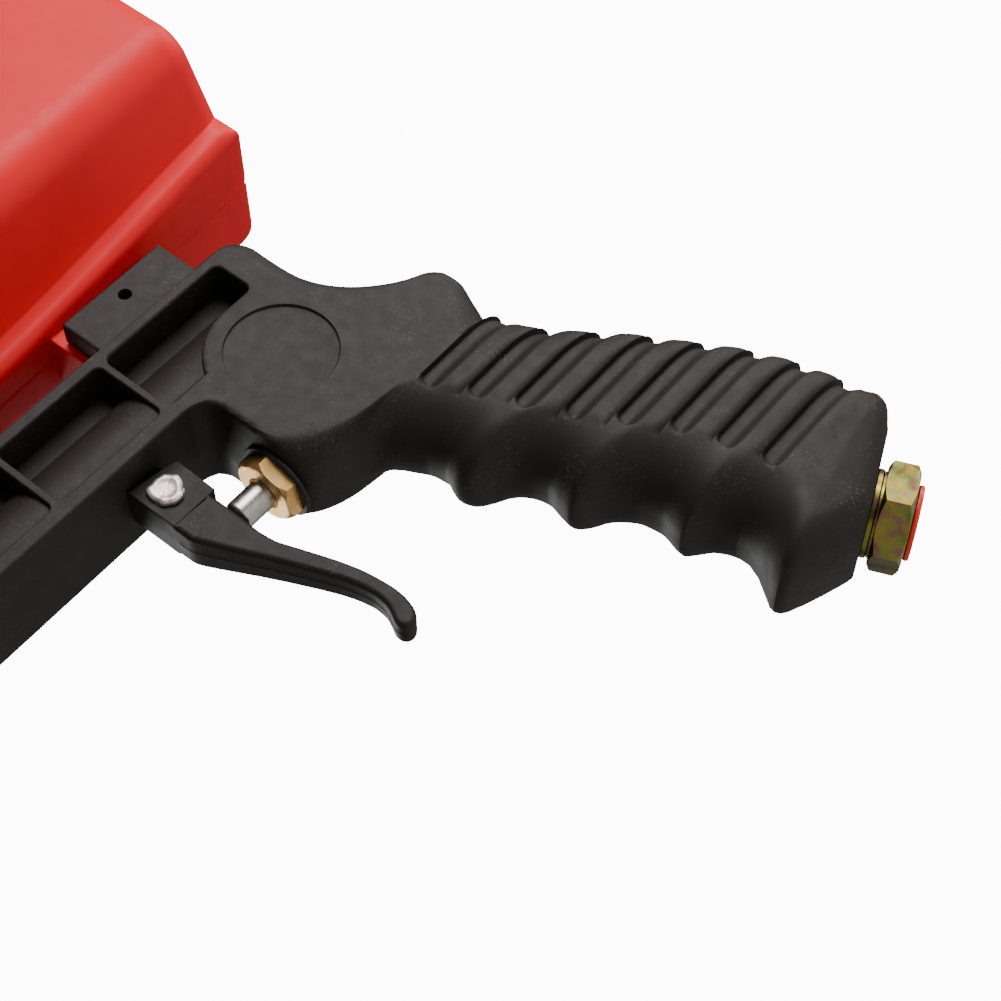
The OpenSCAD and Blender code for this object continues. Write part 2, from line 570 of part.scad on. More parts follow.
// ---- Barrel and nozzle -----------------------------------------------------------
tube_wall = 1.3;
jet_back = -52;
jet_shoulder = -64;
jet_tip = -78;
jet_bore = 1.5;
tube_front = front_x - spigot_len;
gasket_x = tube_front - 1.2;
flange_t = 3;
flange_r = 9;
nut_wall = 3;
nut_back = front_x - 1.5;
nut_front = gasket_x - flange_t - nut_wall;
module barrel_tube() color(STEEL) place() difference() {
    xcyl(tube_front, jet_shoulder - fit_gap, bore_r - fit_gap, barrel_z);
    xcyl(tube_front - 1, jet_shoulder + 1, bore_r - fit_gap - tube_wall, barrel_z);
    translate([feed_x, 0, barrel_z]) cylinder(h = 20, r = feed_r - neck_wall - 1, $fn = 32);
}
module air_jet() color(BRASS) place() difference() {
    union() {
        xcyl(jet_shoulder, jet_back, bore_r - fit_gap, barrel_z);
        xcyl(jet_tip + 6, jet_shoulder + 1, 4, barrel_z);
        xcyl(jet_tip, jet_tip + 6, 2.4, barrel_z, 4);
    }
    xcyl(jet_tip - 1, jet_back + 1, jet_bore, barrel_z);
    xcyl(jet_tip + 12, jet_back + 1, 2.6, barrel_z);
    difference() {
        xcyl(-59, -57, bore_r + 1, barrel_z);
        xcyl(-60, -56, bore_r - 1.9, barrel_z);
    }
}
module jet_o_ring() color(RUBBER) place() translate([-58, 0, barrel_z]) rotate([0, 90, 0])
    rotate_extrude($fn = 48) translate([bore_r - 1 - eps, 0]) circle(r = 0.85, $fn = 16);
module nozzle_gasket() color(RUBBER) place() difference() {
    xcyl(gasket_x, tube_front - eps, flange_r, barrel_z);
    xcyl(gasket_x - 1, tube_front + 1, bore_r - tube_wall, barrel_z);
}
module ceramic_nozzle() color(CERAMIC) place() difference() {
    union() {
        xcyl(gasket_x - flange_t, gasket_x - eps, flange_r, barrel_z);
        xcyl(gasket_x - nozzle_len + 2, gasket_x - flange_t + eps, nozzle_r, barrel_z);
        xcyl(gasket_x - nozzle_len, gasket_x - nozzle_len + 2, nozzle_r - 1.2, barrel_z, nozzle_r);
    }
    xcyl(gasket_x - nozzle_len - 1, gasket_x + 1, nozzle_bore_r, barrel_z);
    xcyl(gasket_x - flange_t - 4, gasket_x + 1, nozzle_bore_r, barrel_z, nozzle_bore_r + 2);
}
module nozzle_nut() color(BLACK) place() difference() {
    union() {
        xcyl(nut_front + 4, nut_back, nut_r - 0.8, barrel_z);
        for (i = [0:17]) translate([nut_front + 6, 0, barrel_z]) rotate([i * 20, 0, 0])
            translate([0, -1.2, nut_r - 2]) cube([nut_back - nut_front - 8, 2.4, 2]);
        xcyl(nut_front, nut_front + 4, nut_r - 4, barrel_z, nut_r - 0.8);
    }
    xcyl(gasket_x - flange_t - fit_gap, nut_back + 1, spigot_r + fit_gap, barrel_z);
    xcyl(nut_front - 1, nut_back, nozzle_r + fit_gap, barrel_z);
}

gun_body();
inlet_washer();
air_inlet_fitting();
inlet_plug();
valve_bonnet();
bonnet_seal_ring();
stem_o_ring();
valve_stem();
valve_poppet();
valve_spring();
valve_seat();
trigger();
trigger_rivet();
hopper_left_shell();
hopper_right_shell();
hopper_screw();
feed_seal();
filler_neck();
cap_gasket();
filler_cap();
barrel_tube();
air_jet();
jet_o_ring();
nozzle_gasket();
ceramic_nozzle();
nozzle_nut();
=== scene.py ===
"""A hand-held gravity-feed sandblasting gun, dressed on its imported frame.

The gun's own drawing is in millimetres from the centre of the badge recess on the head:
+X to the rear, +Z up, the muzzle at -X. Every finished piece is moved to the frame's
origin, at the open end of the air inlet, and to metres.
"""

import logging
import math
from dataclasses import dataclass, field
from enum import Enum
from typing import Optional, Sequence, Union

import bmesh
import bpy
from mathutils import Matrix, Vector


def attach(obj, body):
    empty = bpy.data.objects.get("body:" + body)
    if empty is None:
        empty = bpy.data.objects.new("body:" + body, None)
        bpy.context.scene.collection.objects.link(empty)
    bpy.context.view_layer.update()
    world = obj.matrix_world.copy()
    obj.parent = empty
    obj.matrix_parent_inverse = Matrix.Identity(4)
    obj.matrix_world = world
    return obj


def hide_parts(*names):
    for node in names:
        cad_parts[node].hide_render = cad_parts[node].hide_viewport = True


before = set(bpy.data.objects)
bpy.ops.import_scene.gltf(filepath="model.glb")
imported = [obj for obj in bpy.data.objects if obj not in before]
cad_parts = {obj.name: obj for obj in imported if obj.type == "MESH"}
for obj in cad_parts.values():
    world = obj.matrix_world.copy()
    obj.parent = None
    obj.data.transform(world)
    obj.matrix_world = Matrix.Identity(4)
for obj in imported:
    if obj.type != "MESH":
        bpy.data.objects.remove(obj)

LOG = logging.getLogger("gun")
MM = 0.001
Number = Union[int, float]
BMesh = bmesh.types.BMesh
Material = bpy.types.Material
Socket = bpy.types.NodeSocket


def turn(degrees: float, axis: str) -> Matrix:
    """A turn about one axis."""
    return Matrix.Rotation(math.radians(degrees), 4, axis)


# Places that several pieces share, in the drawing's millimetres
INLET_ORIGIN = Vector((50.5868, 0.0, -111.4720))  # the frame's origin
ON_INLET = Matrix.Translation((47.5, 0, -104.2)) @ turn(157, "Y")
BARREL_Z = 12.5
VALVE_Z = -13.5
FEED_X = -84.0
PIVOT = (-34.4, -2.0)  # X and Z of the trigger's rivet
EAR_HOLE = (-9.1, 32.8)  # X and Z of the screw across the ears


class Side(Enum):
    """The two sides of the gun."""

    NEAR = -1
    FAR = 1


class Join(Enum):
    """How one solid is joined to another."""

    ADD = "UNION"
    CUT = "DIFFERENCE"
    KEEP = "INTERSECT"


# ---- Small sums ------------------------------------------------------------------


def srgb(code: str) -> tuple[float, float, float, float]:
    """Turns an sRGB hex colour to linear.

    Args:
        code: six hex digits, with or without a leading #.

    Returns:
        Linear red, green, blue and alpha 1.
    """
    digits = code.lstrip("#")
    channels = [int(digits[i : i + 2], 16) / 255 for i in (0, 2, 4)]
    linear = [c / 12.92 if c <= 0.04045 else ((c + 0.055) / 1.055) ** 2.4 for c in channels]
    return (linear[0], linear[1], linear[2], 1.0)


def ease(t: float) -> float:
    """A smooth step from 0 at t = 0 to 1 at t = 1."""
    t = min(1.0, max(0.0, t))
    return t * t * (3 - 2 * t)


def lerp(a: float, b: float, t: float) -> float:
    """The value t of the way from a to b, held at both ends."""
    return a + (b - a) * min(1.0, max(0.0, t))


def through(points: Sequence[tuple[float, float]], x: float) -> float:
    """A smooth curve through points, without overshoot, read at x.

    Args:
        points: (x, value) pairs with x rising.
        x: where to read the curve.

    Returns:
        The curve's value, held level outside the points.
    """
    if x <= points[0][0]:
        return points[0][1]
    if x >= points[-1][0]:
        return points[-1][1]
    k = next(i for i in range(len(points) - 1) if x <= points[i + 1][0])
    slopes = [(b[1] - a[1]) / (b[0] - a[0]) for a, b in zip(points, points[1:])]

    def tangent(i: int) -> float:
        """Slope of the curve at point i."""
        if i == 0 or i == len(points) - 1:
            return slopes[min(i, len(slopes) - 1)]
        a, b = slopes[i - 1], slopes[i]
        return 0.0 if a * b <= 0 else 2 * a * b / (a + b)

    (x0, y0), (x1, y1) = points[k], points[k + 1]
    h = x1 - x0
    t = (x - x0) / h
    m0, m1 = tangent(k) * h, tangent(k + 1) * h
    return (
        (2 * t**3 - 3 * t**2 + 1) * y0
        + (t**3 - 2 * t**2 + t) * m0
        + (3 * t**2 - 2 * t**3) * y1
        + (t**3 - t**2) * m1
    )


def spaced(path: Sequence[Vector], count: int) -> list[Vector]:
    """Even spacing round a closed path.

    Args:
        path: the path's points.
        count: how many points to return.

    Returns:
        count points, the first at the path's start.
    """
    line = list(path) + [path[0]]
    reach = [0.0]
    for a, b in zip(line, line[1:]):
        reach.append(reach[-1] + (b - a).length)
    out: list[Vector] = []
    k = 0
    for i in range(count):
        d = reach[-1] * i / count
        while k < len(line) - 2 and reach[k + 1] < d:
            k += 1
        span = reach[k + 1] - reach[k]
        out.append(line[k].lerp(line[k + 1], (d - reach[k]) / span if span > 1e-12 else 0.0))
    return out


def arc(x: float, y: float, r: float, start: float, end: float, steps: int) -> list[tuple[float, float]]:
    """Points along a circle's arc.

    Args:
        x: first coordinate of the centre.
        y: second coordinate of the centre.
        r: radius.
        start: first angle, in degrees.
        end: last angle, in degrees.
        steps: segments of the arc.

    Returns:
        The arc's points, one more than steps.
    """
    angles = [math.radians(start + (end - start) * i / steps) for i in range(steps + 1)]
    return [(x + r * math.cos(a), y + r * math.sin(a)) for a in angles]


def rounded_box(w: float, h: float, r: float, steps: int = 5) -> list[Vector]:
    """Outline of a rectangle with round corners, about the middle.

    Args:
        w: width along X.
        h: height along Y.
        r: corner radius.
        steps: segments in each corner.

    Returns:
        Points in the XY plane, anticlockwise.
    """
    out: list[Vector] = []
    for cx, cy, a in ((1, 1, 0), (-1, 1, 90), (-1, -1, 180), (1, -1, 270)):
        corner = arc(cx * (w / 2 - r), cy * (h / 2 - r), r, a, a + 90, steps)
        out += [Vector((x, y, 0.0)) for x, y in corner]
    return out


# ---- Shaping with bmesh ----------------------------------------------------------


def loft(rings: Sequence[Sequence[Vector]]) -> BMesh:
    """A skin through closed sections that all have the same number of points, filled at both ends.

    Args:
        rings: the sections, each a list of points.

    Returns:
        The skin, as a bmesh.
    """
    bm = bmesh.new()
    verts = bmesh.ops.create_circle(bm, cap_ends=False, radius=1.0, segments=len(rings[0]))["verts"]
    first = edges = list(bm.edges)
    order = walk(verts)
    for v, p in zip(order, rings[0]):
        v.co = p
    for ring in rings[1:]:
        geom = bmesh.ops.extrude_edge_only(bm, edges=edges)["geom"]
        fresh = {g for g in geom if isinstance(g, bmesh.types.BMVert)}
        order = [next(e.other_vert(v) for e in v.link_edges if e.other_vert(v) in fresh) for v in order]
        edges = [g for g in geom if isinstance(g, bmesh.types.BMEdge) and all(v in fresh for v in g.verts)]
        for v, p in zip(order, ring):
            v.co = p
    bmesh.ops.contextual_create(bm, geom=first)
    bmesh.ops.contextual_create(bm, geom=edges)
    bmesh.ops.recalc_face_normals(bm, faces=bm.faces)
    return bm


def walk(verts: Sequence[bmesh.types.BMVert]) -> list[bmesh.types.BMVert]:
    """The verts of a loop, in their order round it."""
    out = [verts[0]]
    while len(out) < len(verts):
        here = out[-1]
        out.append(next(e.other_vert(here) for e in here.link_edges if e.other_vert(here) not in out[-2:-1]))
    return out


def turned(profile: Sequence[tuple[float, float]], steps: int = 48) -> BMesh:
    """A piece turned on a lathe about Z.

    Args:
        profile: (radius, height) points of the outline, from the axis or closed on itself.
        steps: segments of the full turn.

    Returns:
        The turned piece, as a bmesh.
    """
    bm = bmesh.new()
    start = bm.verts.new((profile[0][0], 0.0, profile[0][1]))
    chain = [start]
    for r, z in profile[1:]:
        v = bmesh.ops.extrude_vert_indiv(bm, verts=[chain[-1]])["verts"][0]
        v.co = (r, 0.0, z)
        chain.append(v)
    if profile[0][0] > 1e-6 or profile[-1][0] > 1e-6:
        bmesh.ops.contextual_create(bm, geom=[chain[-1], start])
    bmesh.ops.spin(
        bm,
        geom=list(bm.verts) + list(bm.edges),
        cent=(0, 0, 0),
        axis=(0, 0, 1),
        angle=2 * math.pi,
        steps=steps,
        use_merge=True,
        use_duplicate=False,
    )
    bmesh.ops.remove_doubles(bm, verts=bm.verts, dist=1e-4)
    bmesh.ops.dissolve_degenerate(bm, dist=1e-5, edges=bm.edges)
    bmesh.ops.recalc_face_normals(bm, faces=bm.faces)
    return bm


def moved(bm: BMesh, place: Matrix) -> BMesh:
    """The shape, moved."""
    bmesh.ops.transform(bm, matrix=place, verts=bm.verts)
    return bm


def block(
    low: Sequence[Number], high: Sequence[Number], round_off: float = 0.0, steps: int = 3
) -> BMesh:
    """A box between two corners, with its edges rounded.

    Args:
        low: lowest corner.
        high: highest corner.
        round_off: radius of the edges.
        steps: segments of the rounding.

    Returns:
        The box, as a bmesh.
    """
    bm = bmesh.new()
    bmesh.ops.create_cube(bm, size=1.0)
    lo, hi = Vector(low), Vector(high)
    bmesh.ops.scale(bm, vec=hi - lo, verts=bm.verts)
    bmesh.ops.translate(bm, vec=(lo + hi) / 2, verts=bm.verts)
    if round_off > 0:
        soften(bm, list(bm.edges), round_off, steps)
    return bm


def soften(bm: BMesh, edges: Sequence[bmesh.types.BMEdge], width: float, steps: int = 3) -> None:
    """Rounds edges of a bmesh by width, in steps segments."""
    bmesh.ops.bevel(
        bm,
        geom=list(edges),
        offset=width,
        offset_type="OFFSET",
        segments=steps,
        profile=0.5,
        affect="EDGES",
        clamp_overlap=True,
        material=-1,
    )


def plate(outline: Sequence[tuple[float, float]], half: float) -> BMesh:
    """A slab across the gun from an outline of (x, z) points, half thick to each side."""
    return loft([[Vector((x, y, z)) for x, z in outline] for y in (-half, half)])


def along_y(bm: BMesh, x: float, y: float, z: float) -> BMesh:
    """Lays a piece made about Z along +Y instead, its foot at (x, y, z)."""
    return moved(bm, Matrix.Translation((x, y, z)) @ turn(-90, "X"))


def rod(x0: float, x1: float, r: float, z: float, steps: int = 48) -> BMesh:
    """A plain cylinder along X."""
    upright = turned([(0, 0), (r, 0), (r, x1 - x0), (0, x1 - x0)], steps)
    return moved(upright, Matrix.Translation((x0, 0, z)) @ turn(90, "Y"))


def pin(x: float, z: float, y0: float, y1: float, r: float, steps: int = 40) -> BMesh:
    """A plain cylinder along Y."""
    return along_y(turned([(0, 0), (r, 0), (r, y1 - y0), (0, y1 - y0)], steps), x, y0, z)


def turned_up(x: float, z0: float, z1: float, r: float) -> BMesh:
    """A plain upright cylinder."""
    return moved(turned([(0, z0), (r, z0), (r, z1), (0, z1)], 56), Matrix.Translation((x, 0, 0)))


def six_sided(flats: float, low: float, high: float, spin: float) -> BMesh:
    """A plain hexagon about Z, turned by spin degrees."""
    r = flats / math.sqrt(3)
    return moved(turned([(0, low), (r, low), (r, high), (0, high)], 6), turn(spin, "Z"))


def mirrored(bm: BMesh, side: Side) -> BMesh:
    """The shape unchanged for the far side, or its mirror image for the near one."""
    if side is Side.NEAR:
        bmesh.ops.scale(bm, vec=(1, -1, 1), verts=bm.verts)
        bmesh.ops.reverse_faces(bm, faces=bm.faces)
    return bm


def show(obj: bpy.types.Object) -> None:
    """Puts an object in the scene."""
    bpy.context.scene.collection.objects.link(obj)


@dataclass
class Solid:
    """A closed shape that other shapes are joined to or cut from, in the gun's millimetres."""

    name: str
    obj: bpy.types.Object = field(init=False)

    def __post_init__(self) -> None:
        """Makes the empty object that holds the shape."""
        self.obj = bpy.data.objects.new(self.name, bpy.data.meshes.new(self.name))
        show(self.obj)

    def take(self, bm: BMesh) -> "Solid":
        """Takes a bmesh as its shape and frees it."""
        bm.to_mesh(self.obj.data)
        bm.free()
        return self

    def move(self, place: Matrix) -> "Solid":
        """Moves the shape."""
        self.obj.data.transform(place)
        return self

    def add(self, bm: BMesh) -> "Solid":
        """Adds a shape."""
        return self.join(bm, Join.ADD)

    def cut(self, bm: BMesh) -> "Solid":
        """Cuts a shape away."""
        return self.join(bm, Join.CUT)

    def join(self, bm: BMesh, how: Join) -> "Solid":
        """Joins a shape to this one, or cuts it from this one.

        Args:
            bm: the other shape, freed afterwards.
            how: add, cut or keep what both share.

        Returns:
            This solid.
        """
        tool = Solid(self.name + "_tool").take(bm)
        mod = self.obj.modifiers.new("join", "BOOLEAN")
        mod.operation = how.value
        mod.solver = "MANIFOLD"
        mod.object = tool.obj
        graph = bpy.context.evaluated_depsgraph_get()
        old, made = self.obj.data, bpy.data.meshes.new_from_object(self.obj.evaluated_get(graph))
        self.obj.modifiers.clear()
        if not made.polygons:
            LOG.warning("%s: nothing is left after a join", self.name)
        self.obj.data = made
        bpy.data.meshes.remove(old)
        bpy.data.objects.remove(tool.obj)
        return self

    def hand_over(self) -> BMesh:
        """Gives its shape as a bmesh and removes itself."""
        bm, mesh = bmesh.new(), self.obj.data
        bm.from_mesh(mesh)
        bpy.data.objects.remove(self.obj)
        bpy.data.meshes.remove(mesh)
        return bm

    def finish(
        self, body: str, nodes: Sequence[str], slot: str, material: Material, smooth: float = 32.0
    ) -> bpy.types.Object:
        """Moves the shape to the frame, shades it and hands it over as a piece.

        Args:
            body: the body it rides on.
            nodes: the CAD nodes it stands for.
            slot: the record's material slot name; not used.
            material: what it is made of.
            smooth: edges sharper than this many degrees stay sharp.

        Returns:
            The finished object.
        """
        mesh = self.obj.data
        mesh.transform(Matrix.Scale(MM, 4) @ Matrix.Translation(-INLET_ORIGIN))
        mesh.materials.clear()
        mesh.materials.append(material)
        for poly in mesh.polygons:
            poly.material_index = 0
        mesh.shade_smooth()
        mesh.set_sharp_from_angle(angle=math.radians(smooth))
        even = self.obj.modifiers.new("even", "WEIGHTED_NORMAL")
        even.keep_sharp = True
        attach(self.obj, body)
        if nodes:
            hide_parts(*nodes)
        LOG.info("%s: %d faces on body %s", self.name, len(mesh.polygons), body)
        return self.obj


# ---- Finishes --------------------------------------------------------------------


def add_node(
    tree: bpy.types.NodeTree, kind: str, settings: Optional[dict] = None, **inputs: object
) -> bpy.types.Node:
    """Adds a node to a tree.

    Args:
        tree: the node tree.
        kind: the node's type.
        settings: properties of the node itself.
        inputs: input sockets by name, or by i and their number, each a value or another node's output.

    Returns:
        The new node.
    """
    node = tree.nodes.new(kind)
    for key, value in (settings or {}).items():
        setattr(node, key, value)
    for key, value in inputs.items():
        socket = node.inputs[int(key[1:])] if key[1:].isdigit() else node.inputs[key.replace("_", " ")]
        if isinstance(value, Socket):
            tree.links.new(value, socket)
        else:
            socket.default_value = value
    return node


class Sheet:
    """The node sheet of one material, with short ways to add the nodes used here."""

    def __init__(self, name: str) -> None:
        """Makes an empty material.

        Args:
            name: what the material is.
        """
        self.material = bpy.data.materials.new(name)
        self.material.use_nodes = True
        self.tree = self.material.node_tree
        self.tree.nodes.clear()
        self.place = self.add("ShaderNodeTexCoord").outputs["Object"]

    def add(self, kind: str, settings: Optional[dict] = None, **inputs: object) -> bpy.types.Node:
        """Adds a node to this sheet."""
        return add_node(self.tree, kind, settings, **inputs)

    def noise(self, size_mm: float, detail: float = 3.0, stretch: Sequence[Number] = (1, 1, 1)) -> Socket:
        """A soft noise whose blotches are about size_mm across, squeezed by stretch along each axis."""
        spread = self.add("ShaderNodeMapping", i0=self.place, i3=tuple(stretch)).outputs[0]
        return self.add("ShaderNodeTexNoise", Vector=spread, Scale=1000 / size_mm, Detail=detail).outputs[0]

    def level(self, value: Socket, low: float, high: float, a: float = 0.0, b: float = 1.0) -> Socket:
        """Maps value from low…high to a…b, held at both ends."""
        return self.add("ShaderNodeMapRange", i0=value, i1=low, i2=high, i3=a, i4=b).outputs[0]

    def mix(self, share: object, a: object, b: object) -> Socket:
        """The colour share of the way from a to b."""
        return self.add("ShaderNodeMix", {"data_type": "RGBA"}, i0=share, i6=a, i7=b).outputs[2]

    def bumps(self, height: Socket, depth_mm: float, below: object = None) -> Socket:
        """A normal that stands for relief depth_mm deep."""
        node = self.add("ShaderNodeBump", Height=height, Distance=depth_mm * MM, Strength=1.0)
        if below is not None:
            self.tree.links.new(below, node.inputs["Normal"])
        return node.outputs[0]

    def close(self, **inputs: object) -> Material:
        """Adds the surface shader and the output."""
        shader = self.add("ShaderNodeBsdfPrincipled", **inputs)
        self.add("ShaderNodeOutputMaterial", Surface=shader.outputs[0])
        return self.material


@dataclass(frozen=True)
class Plastic:
    """Moulded plastic: a base colour with slow blotches, fine grain and specks of dust."""

    name: str
    colour: str
    blotch: str
    dust: str
    rough: float = 0.5
    grain_mm: float = 0.35
    grain_deep_mm: float = 0.012
    specks: float = 0.72
    shine: float = 0.5

    def make(self) -> Material:
        """Builds the material."""
        s = Sheet(self.name)
        slow = s.level(s.noise(14.0, 4.0), 0.35, 0.7)
        body = s.mix(slow, srgb(self.colour), srgb(self.blotch))
        fine = s.noise(0.55, 2.0)
        patch = s.level(s.noise(7.0, 3.0), 0.45, 0.7)
        speck = s.level(fine, self.specks, self.specks + 0.05)
        share = s.add("ShaderNodeMath", {"operation": "MULTIPLY"}, i0=speck, i1=patch).outputs[0]
        share = s.add("ShaderNodeMath", {"operation": "MULTIPLY"}, i0=share, i1=0.6).outputs[0]
        coat = s.mix(share, body, srgb(self.dust))
        rough = s.level(s.noise(3.0, 3.0), 0.3, 0.7, self.rough - 0.03, self.rough + 0.04)
        relief = s.bumps(s.noise(self.grain_mm, 2.0), self.grain_deep_mm)
        wave = s.bumps(s.noise(12.0, 1.0), self.grain_deep_mm, relief)
        return s.close(Base_Color=coat, Roughness=rough, Normal=wave, Specular_IOR_Level=self.shine)


@dataclass(frozen=True)
class Metal:
    """Bare or plated metal with turning or rubbing lines and a slow change of tone."""

    name: str
    colour: str
    shade: str
    rough: float = 0.3
    lines: Sequence[Number] = (1, 1, 1)
    line_mm: float = 0.5
    line_deep_mm: float = 0.004
    tarnish: float = 0.5

    def make(self) -> Material:
        """Builds the material."""
        s = Sheet(self.name)
        slow = s.level(s.noise(2.6, 4.0), 0.35, 0.68, 0.0, self.tarnish)
        tone = s.mix(slow, srgb(self.colour), srgb(self.shade))
        scratch = s.noise(self.line_mm, 3.0, self.lines)
        rough = s.level(scratch, 0.3, 0.7, self.rough - 0.06, self.rough + 0.1)
        relief = s.bumps(scratch, self.line_deep_mm)
        return s.close(Base_Color=tone, Metallic=1.0, Roughness=rough, Normal=relief)


@dataclass(frozen=True)
class Passivated:
    """Yellow passivated zinc: patches of straw, green and pink, and patches of painted shade in the dark
    olive brown of a shaded facet.
    """

    name: str = "yellow zinc"

    def make(self) -> Material:
        """Builds the material."""
        s = Sheet(self.name)
        tint = s.level(s.noise(3.5, 3.0), 0.35, 0.65)
        straw = s.mix(tint, srgb("AC9848"), srgb("7E9150"))
        pink = s.mix(s.level(s.noise(2.4, 2.0), 0.52, 0.64, 0.0, 0.75), straw, srgb("A0656C"))
        # painted shade: random patches of the dark olive brown that a shaded facet of the hexagon shows
        with_painted_shade = s.mix(s.level(s.noise(6.0, 5.0), 0.5, 0.62, 0.0, 0.8), pink, srgb("57451A"))
        scratch = s.noise(0.5, 4.0, (1, 1, 6))
        relief = s.bumps(scratch, 0.006)
        rough = s.level(s.noise(1.2, 4.0), 0.3, 0.7, 0.2, 0.42)
        return s.close(Base_Color=with_painted_shade, Metallic=1.0, Roughness=rough, Normal=relief)


# ---- Gun body --------------------------------------------------------------------


@dataclass
class GunBody:
    """The one black moulding: ribbed beam, head, ears, valve boss, lug and grip."""

    half: float = 12.0
    butt_half: float = 13.6
    beam_low: float = 4.0
    beam_high: float = 27.2
    beam_front: float = -108.0
    ridge_top: float = -24.3
    ridge_pitch: float = 8.7
    ridges: int = 8
    ridge_deep: float = 1.28
    groove_r: float = 2.1
    ring_points: int = 208
    boss_deep: float = 9.12
    front: tuple = (
        (27.2, -24.0), (4.4, -24.0), (4.0, -21.5), (2.7, -18.4), (-0.6, -17.0), (-18.0, -17.0),
        (-19.6, -16.5), (-21.0, -15.0), (-21.8, -12.6), (-22.1, -10.1), (-22.7, -5.6),
        (-25.4, -1.0), (-29.5, 1.6), (-33.7, 3.5), (-37.1, 3.9), (-41.3, 2.4), (-43.3, 3.0),
        (-44.5, 4.5), (-46.6, 8.1), (-49.3, 10.8), (-52.9, 12.4), (-55.2, 12.7), (-58.1, 12.0),
        (-61.0, 11.5), (-62.5, 12.6), (-64.7, 16.1), (-67.4, 18.7), (-70.8, 20.6), (-75.1, 21.2),
        (-80.8, 19.9), (-82.2, 21.2), (-84.8, 24.0), (-88.2, 25.7), (-90.2, 26.1), (-92.7, 25.9),
        (-96.0, 24.4), (-100.5, 21.4),
    )  # height and X of the grip's front at its middle
    back: tuple = (
        (27.2, 12.2), (26.6, 14.6), (25.0, 16.1), (22.6, 16.8), (18.0, 16.7), (13.3, 16.8),
        (9.9, 17.3), (6.7, 18.4), (2.6, 20.6), (-1.0, 23.5), (-4.1, 26.9), (-6.8, 30.8),
        (-8.4, 34.1), (-9.6, 35.4), (-11.4, 36.2), (-13.8, 36.2), (-19.2, 34.6), (-24.2, 33.6),
        (-24.4, 36.9), (-30.0, 39.3), (-39.4, 45.0), (-47.0, 50.2), (-56.7, 55.6), (-64.7, 60.0),
        (-73.5, 63.7), (-81.3, 65.9), (-88.9, 67.0), (-91.0, 67.1),
    )  # height and X of its back
    butt: tuple = (
        ((26.05, -92.0), (67.1, -89.6), 13.6, 15.0), ((24.9, -95.0), (67.2, -90.2), 13.6, 14.0),
        ((22.7, -98.2), (67.4, -90.8), 13.6, 13.2), ((21.1, -100.4), (67.8, -91.6), 13.6, 12.8),
        ((20.9, -101.6), (68.0, -92.4), 13.6, 12.5), ((21.4, -102.6), (68.1, -92.9), 13.5, 12.3),
        ((22.4, -103.4), (68.0, -93.4), 13.4, 12.0), ((25.8, -105.0), (67.5, -94.4), 13.2, 11.5),
        ((29.7, -106.6), (66.6, -95.3), 12.9, 11.0), ((33.2, -108.0), (65.3, -96.2), 12.4, 10.5),
        ((34.9, -108.7), (64.5, -96.7), 11.8, 10.0), ((36.2, -109.05), (63.8, -97.3), 11.0, 9.2),
    )  # front point, back point, half width and front corner of the sections that turn under the butt

    def groove(self, z: float) -> float:
        """Depth of the grip's grooves at height z: a sharp step, a level floor, then a slow rise."""
        k = math.floor((self.ridge_top - z) / self.ridge_pitch)
        if k < 0 or k >= self.ridges:
            return 0.0
        t = self.ridge_top - z - k * self.ridge_pitch
        if t < 0.35:
            return self.ridge_deep * ease(t / 0.35)
        if t < 2.3:
            return self.ridge_deep
        if t < 4.8:
            return self.ridge_deep * (1 - ease((t - 2.3) / 2.5))
        return 0.4 * max(0.0, (t - 7.2) / 1.5) ** 2 - 0.12 * math.sin(math.pi * (t - 4.8) / 3.9)

    def groove_end(self, z: float) -> float:
        """X of the groove's round front end at height z."""
        ends = [(-84.8, 36.2), (-75.7, 33.8), (-67.1, 31.1), (-58.9, 26.4)]
        ends += [(-50.2, 21.7), (-41.6, 17.9), (-33.0, 14.5), (-24.3, 10.8)]
        k = math.floor((self.ridge_top - z) / self.ridge_pitch)
        t = self.ridge_top - z - k * self.ridge_pitch
        end = through(ends, self.ridge_top - k * self.ridge_pitch)
        r = self.groove_r
        return end + r - math.sqrt(max(0.0, r * r - (min(t, 2 * r) - r) ** 2))

    def heights(self) -> list[float]:
        """Heights of the level sections, closest together at the grooves' steps."""
        out = [27.2, 27.14, 26.96, 26.7, 26.4, 25.4, 24, 22.6, 20, 18, 15.6, 13.3, 11, 9.9, 8, 6.7, 5.4, 4.4]
        out += [4.0, 3.6, 2.7, 1.5, 0.4, -0.6, -1.6, -2.6, -3.6, -4.6, -5.6, -6.6, -7.5, -8.2, -8.8, -9.4]
        out += [-10, -10.8, -12, -13.4, -15, -16.6, -18, -19, -19.8, -20.6, -21.2, -21.7, -22.1, -22.4]
        out += [-22.55, -22.62, -22.8, -23.1, -23.5, -24.0]
        bits = [0.02, 0.12, 0.24, 0.36, 0.6, 1.0, 1.6, 2.2, 2.8, 3.4, 4.0, 4.4]
        bits += [4.6, 4.9, 5.5, 6.3, 7.0, 7.6, 8.1, 8.5, 8.68]
        for k in range(self.ridges):
            out += [self.ridge_top - k * self.ridge_pitch - t for t in bits if k < 7 or t < 4.5]
        return out

